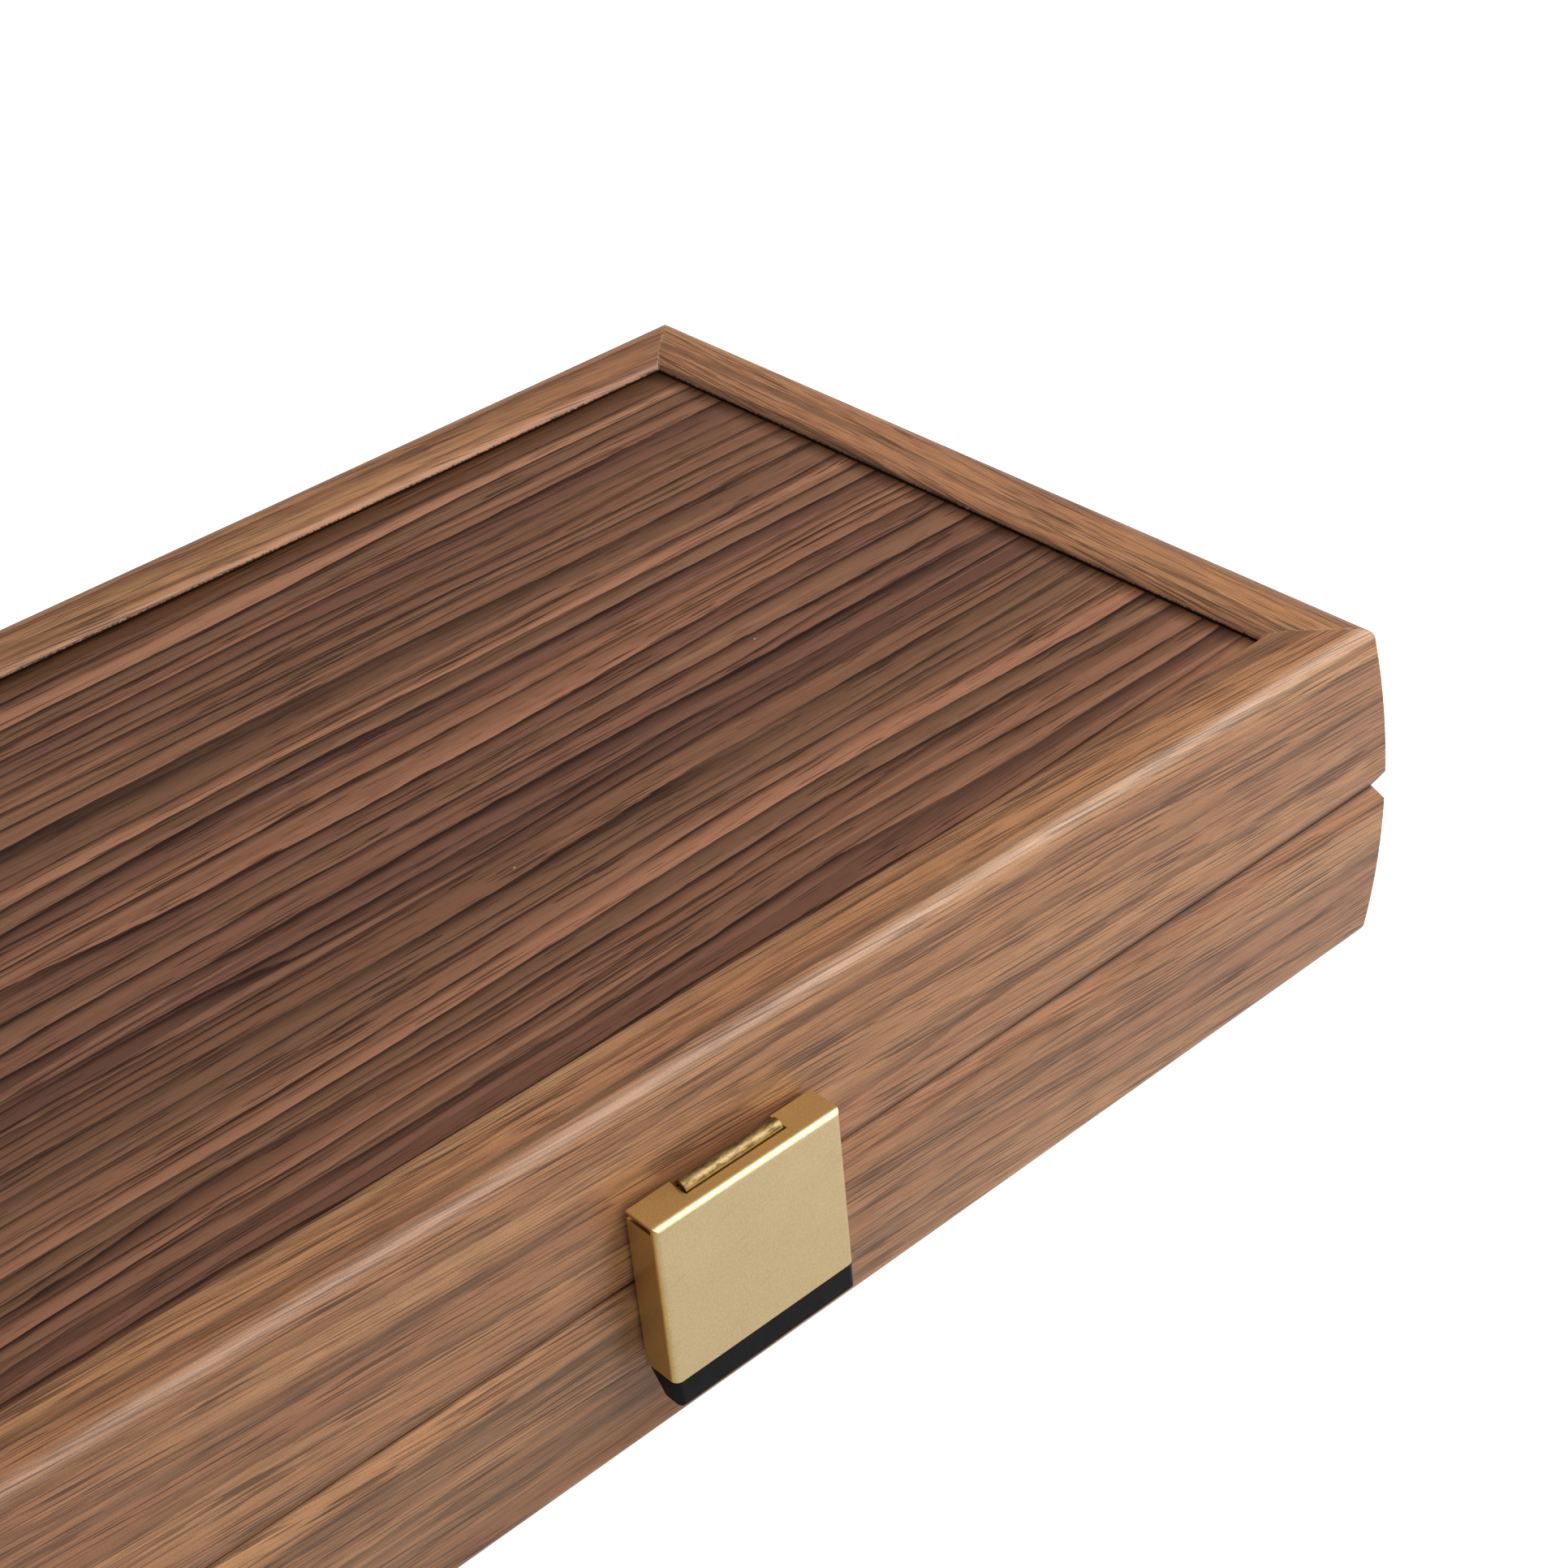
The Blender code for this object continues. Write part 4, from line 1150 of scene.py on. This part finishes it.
def cover_solid(grow, low):
    """The cover's space, lying in from its outside by grow, open below the level low."""
    cover_low, cover_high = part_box("clasp_cover")
    half = cover_high.x - grow
    front = cover_low.y + grow
    back = cover_high.y + (OVERRUN if grow else 0.0)
    top = cover_high.z - grow
    radius = sizes().bend_radius - grow
    plan = arc((-half + radius, front + radius), radius, 180.0, 270.0, BEND_STEPS)
    plan += arc((half - radius, front + radius), radius, 270.0, 360.0, BEND_STEPS)
    plan += [(half, back), (-half, back)]
    side = arc((front + radius, top - radius), radius, 180.0, 90.0, BEND_STEPS)
    side += [(back + OVERRUN, top), (back + OVERRUN, low), (front, low)]
    solid = new_object("solid", prism(plan, "Z", low - OVERRUN, top + OVERRUN))
    profile = new_object("profile", prism(side, "X", -half - OVERRUN, half + OVERRUN))
    boolean(solid, "INTERSECT", profile)
    return solid


def cover_gaps():
    """The slits beside the top flange, and the slot that the tongue goes through."""
    s = sizes()
    low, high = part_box("clasp_cover")
    bm = bmesh.new()
    under = high.z - s.sheet
    for way in (-1, 1):
        x = sorted((way * (high.x - s.sheet - s.slit_height / 2), way * (high.x + OVERRUN)))
        add_box(bm, x, (low.y + s.bend_radius, high.y + OVERRUN), (under - s.slit_height, under))
    x = (-s.tongue_width / 2 - s.tongue_gap, s.tongue_width / 2 + s.tongue_gap)
    z = (under - OVERRUN / 2, high.z + OVERRUN)
    curl = high.y - s.curl_in
    slot_front = curl - s.curl_radius - s.tongue_gap
    add_box(bm, x, (slot_front, curl - s.strip_width / 2), z)
    add_box(bm, x, (curl + s.strip_width / 2, high.y + OVERRUN), z)
    return bm


class CASE_OT_cover(bpy.types.Operator):
    """Adds the clasp's cover, folded from sheet brass"""

    bl_idname = "case.cover"
    bl_label = "Clasp cover"

    def execute(self, context):
        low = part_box("clasp_cover")[0].z
        cover = cover_solid(0.0, low)
        cover.name = "brass_cover"
        boolean(cover, "DIFFERENCE", cover_solid(sizes().sheet, low - OVERRUN))
        boolean(cover, "DIFFERENCE", new_object("gaps", cover_gaps()))
        weld(cover)
        ease(cover, sizes().cover_edge, angle=50.0)
        smooth(cover)
        coat(cover, "sheet_brass")
        dress(cover, "clasp_flap", "clasp_cover")
        return {"FINISHED"}


class CASE_OT_bracket(bpy.types.Operator):
    """Adds the bracket whose tongue rolls over the cover's edge, with its screws"""

    bl_idname = "case.bracket"
    bl_label = "Clasp bracket"

    def execute(self, context):
        add_copy("tongue_bracket", "clasp_bracket", "upper_tray", "sheet_brass")
        add_screws("bracket_screw", "clasp_bracket_screw", "upper_tray")
        return {"FINISHED"}


class CASE_OT_block(bpy.types.Operator):
    """Adds the black block with its finger lip, and the magnet in it"""

    bl_idname = "case.block"
    bl_label = "Clasp block"

    def execute(self, context):
        s = sizes()
        add_copy("finger_block", "clasp_block", "clasp_flap", "black_plastic", edge=s.block_edge)
        add_copy("bar_magnet", "clasp_magnet", "clasp_flap", "magnet_nickel", edge=s.magnet_edge)
        return {"FINISHED"}


class CASE_OT_strike(bpy.types.Operator):
    """Adds the strike plate on the lower tray, with its screws"""

    bl_idname = "case.strike"
    bl_label = "Strike plate"

    def execute(self, context):
        add_copy("strike_plate", "clasp_strike", "lower_tray", "plated_steel")
        add_screws("strike_screw", "clasp_strike_screw", "lower_tray")
        return {"FINISHED"}


# Stage


def area_light(name, power, way, distance, width, depth):
    """A soft light that looks at the case from one side."""
    data = bpy.data.lights.new(name, "AREA")
    data.shape = "RECTANGLE"
    data.size = width
    data.size_y = depth
    data.energy = power
    made = add_object(name, data)
    direction = Vector(way).normalized()
    made.location = Vector((0.0, Case.mid_y, Case.middle)) + direction * distance
    made.rotation_euler = direction.to_track_quat("Z", "Y").to_euler()


def white_room(strength):
    """A white room, darker behind the case, and plain white to the camera."""
    world = bpy.data.worlds.new("white_room")
    bpy.context.scene.world = world
    world.use_nodes = True
    n = Nodes(world.node_tree)
    background = world.node_tree.nodes["Background"]
    background.inputs["Color"].default_value = rgba(WHITE)
    way = n.add("ShaderNodeTexCoord").outputs["Generated"]
    behind = n.vector("DOT_PRODUCT", way, (0.60, 0.76, 0.25))
    glow = n.remap(behind, 0.40, 0.85, strength, strength * 0.42)
    seen = n.add("ShaderNodeLightPath").outputs["Is Camera Ray"]
    n.put(background.inputs["Strength"], n.most(glow, seen))


def photo_camera(view):
    """The camera of the picture, from its direction, roll, place and lens."""
    level = math.cos(view.elevation)
    aside = math.sin(view.azimuth) * level
    ahead = math.cos(view.azimuth) * level
    forward = Vector((aside, ahead, -math.sin(view.elevation)))
    right = forward.cross(Vector((0.0, 0.0, 1.0))).normalized()
    up = right.cross(forward)
    c, s = math.cos(view.roll), math.sin(view.roll)
    across = right * c + up * s
    upright = up * c - right * s
    turn = Matrix((across, upright, -forward)).transposed().to_4x4()
    data = bpy.data.cameras.new("photo_camera")
    data.lens = view.lens
    data.sensor_width = 36.0
    data.clip_start = 20.0 * MM
    made = add_object("photo_camera", data)
    made.matrix_world = Matrix.Translation(view.place) @ turn
    bpy.context.scene.camera = made


class CASE_OT_stage(bpy.types.Operator):
    """Adds the pale floor, the soft lights and the camera"""

    bl_idname = "case.stage"
    bl_label = "Stage"

    def execute(self, context):
        view = context.scene.case_view
        bm = bmesh.new()
        bmesh.ops.create_grid(bm, x_segments=8, y_segments=8, size=TABLE_REACH)
        floor = new_object("pale_table", bm, at(0, 0, CAD_BOX[0].z))
        coat(floor, "pale_floor")
        area_light(
            "top_light", view.top_light, way=(0.52, -0.36, 0.77), distance=1.25, width=1.10, depth=0.46
        )
        area_light(
            "front_light", view.front_light, way=(0.66, -0.54, 0.52), distance=0.76, width=0.80, depth=0.60
        )
        white_room(view.sky)
        photo_camera(view)
        context.scene.view_settings.view_transform = "Standard"
        context.scene.view_settings.look = "None"
        return {"FINISHED"}


class CASE_PT_sidebar(bpy.types.Panel):
    """Builds the case, piece by piece"""

    bl_idname = "CASE_PT_sidebar"
    bl_label = "Backgammon Case"
    bl_space_type = "VIEW_3D"
    bl_region_type = "UI"
    bl_category = "Case"

    def draw(self, context):
        for step in STEPS:
            self.layout.operator(step.bl_idname)
        for group in (context.scene.case_view, context.scene.case_sizes, context.scene.case_colours):
            box = self.layout.box()
            for name in group.bl_rna.properties.keys():
                if name not in ("rna_type", "name"):
                    box.prop(group, name)


STEPS = (
    CASE_OT_stage,
    CASE_OT_rails,
    CASE_OT_panels,
    CASE_OT_hinges,
    CASE_OT_cover,
    CASE_OT_bracket,
    CASE_OT_block,
    CASE_OT_strike,
)
CLASSES = (CaseSizes, CaseColours, CaseView, *STEPS, CASE_PT_sidebar)


def register():
    for each in CLASSES:
        bpy.utils.register_class(each)
    bpy.types.Scene.case_sizes = PointerProperty(type=CaseSizes)
    bpy.types.Scene.case_colours = PointerProperty(type=CaseColours)
    bpy.types.Scene.case_view = PointerProperty(type=CaseView)


def unregister():
    for name in ("case_sizes", "case_colours", "case_view"):
        delattr(bpy.types.Scene, name)
    for each in reversed(CLASSES):
        bpy.utils.unregister_class(each)


def main():
    register()
    bpy.ops.case.stage()
    bpy.ops.case.rails()
    bpy.ops.case.panels()
    bpy.ops.case.hinges()
    bpy.ops.case.cover()
    bpy.ops.case.bracket()
    bpy.ops.case.block()
    bpy.ops.case.strike()


if __name__ == "__main__":
    main()
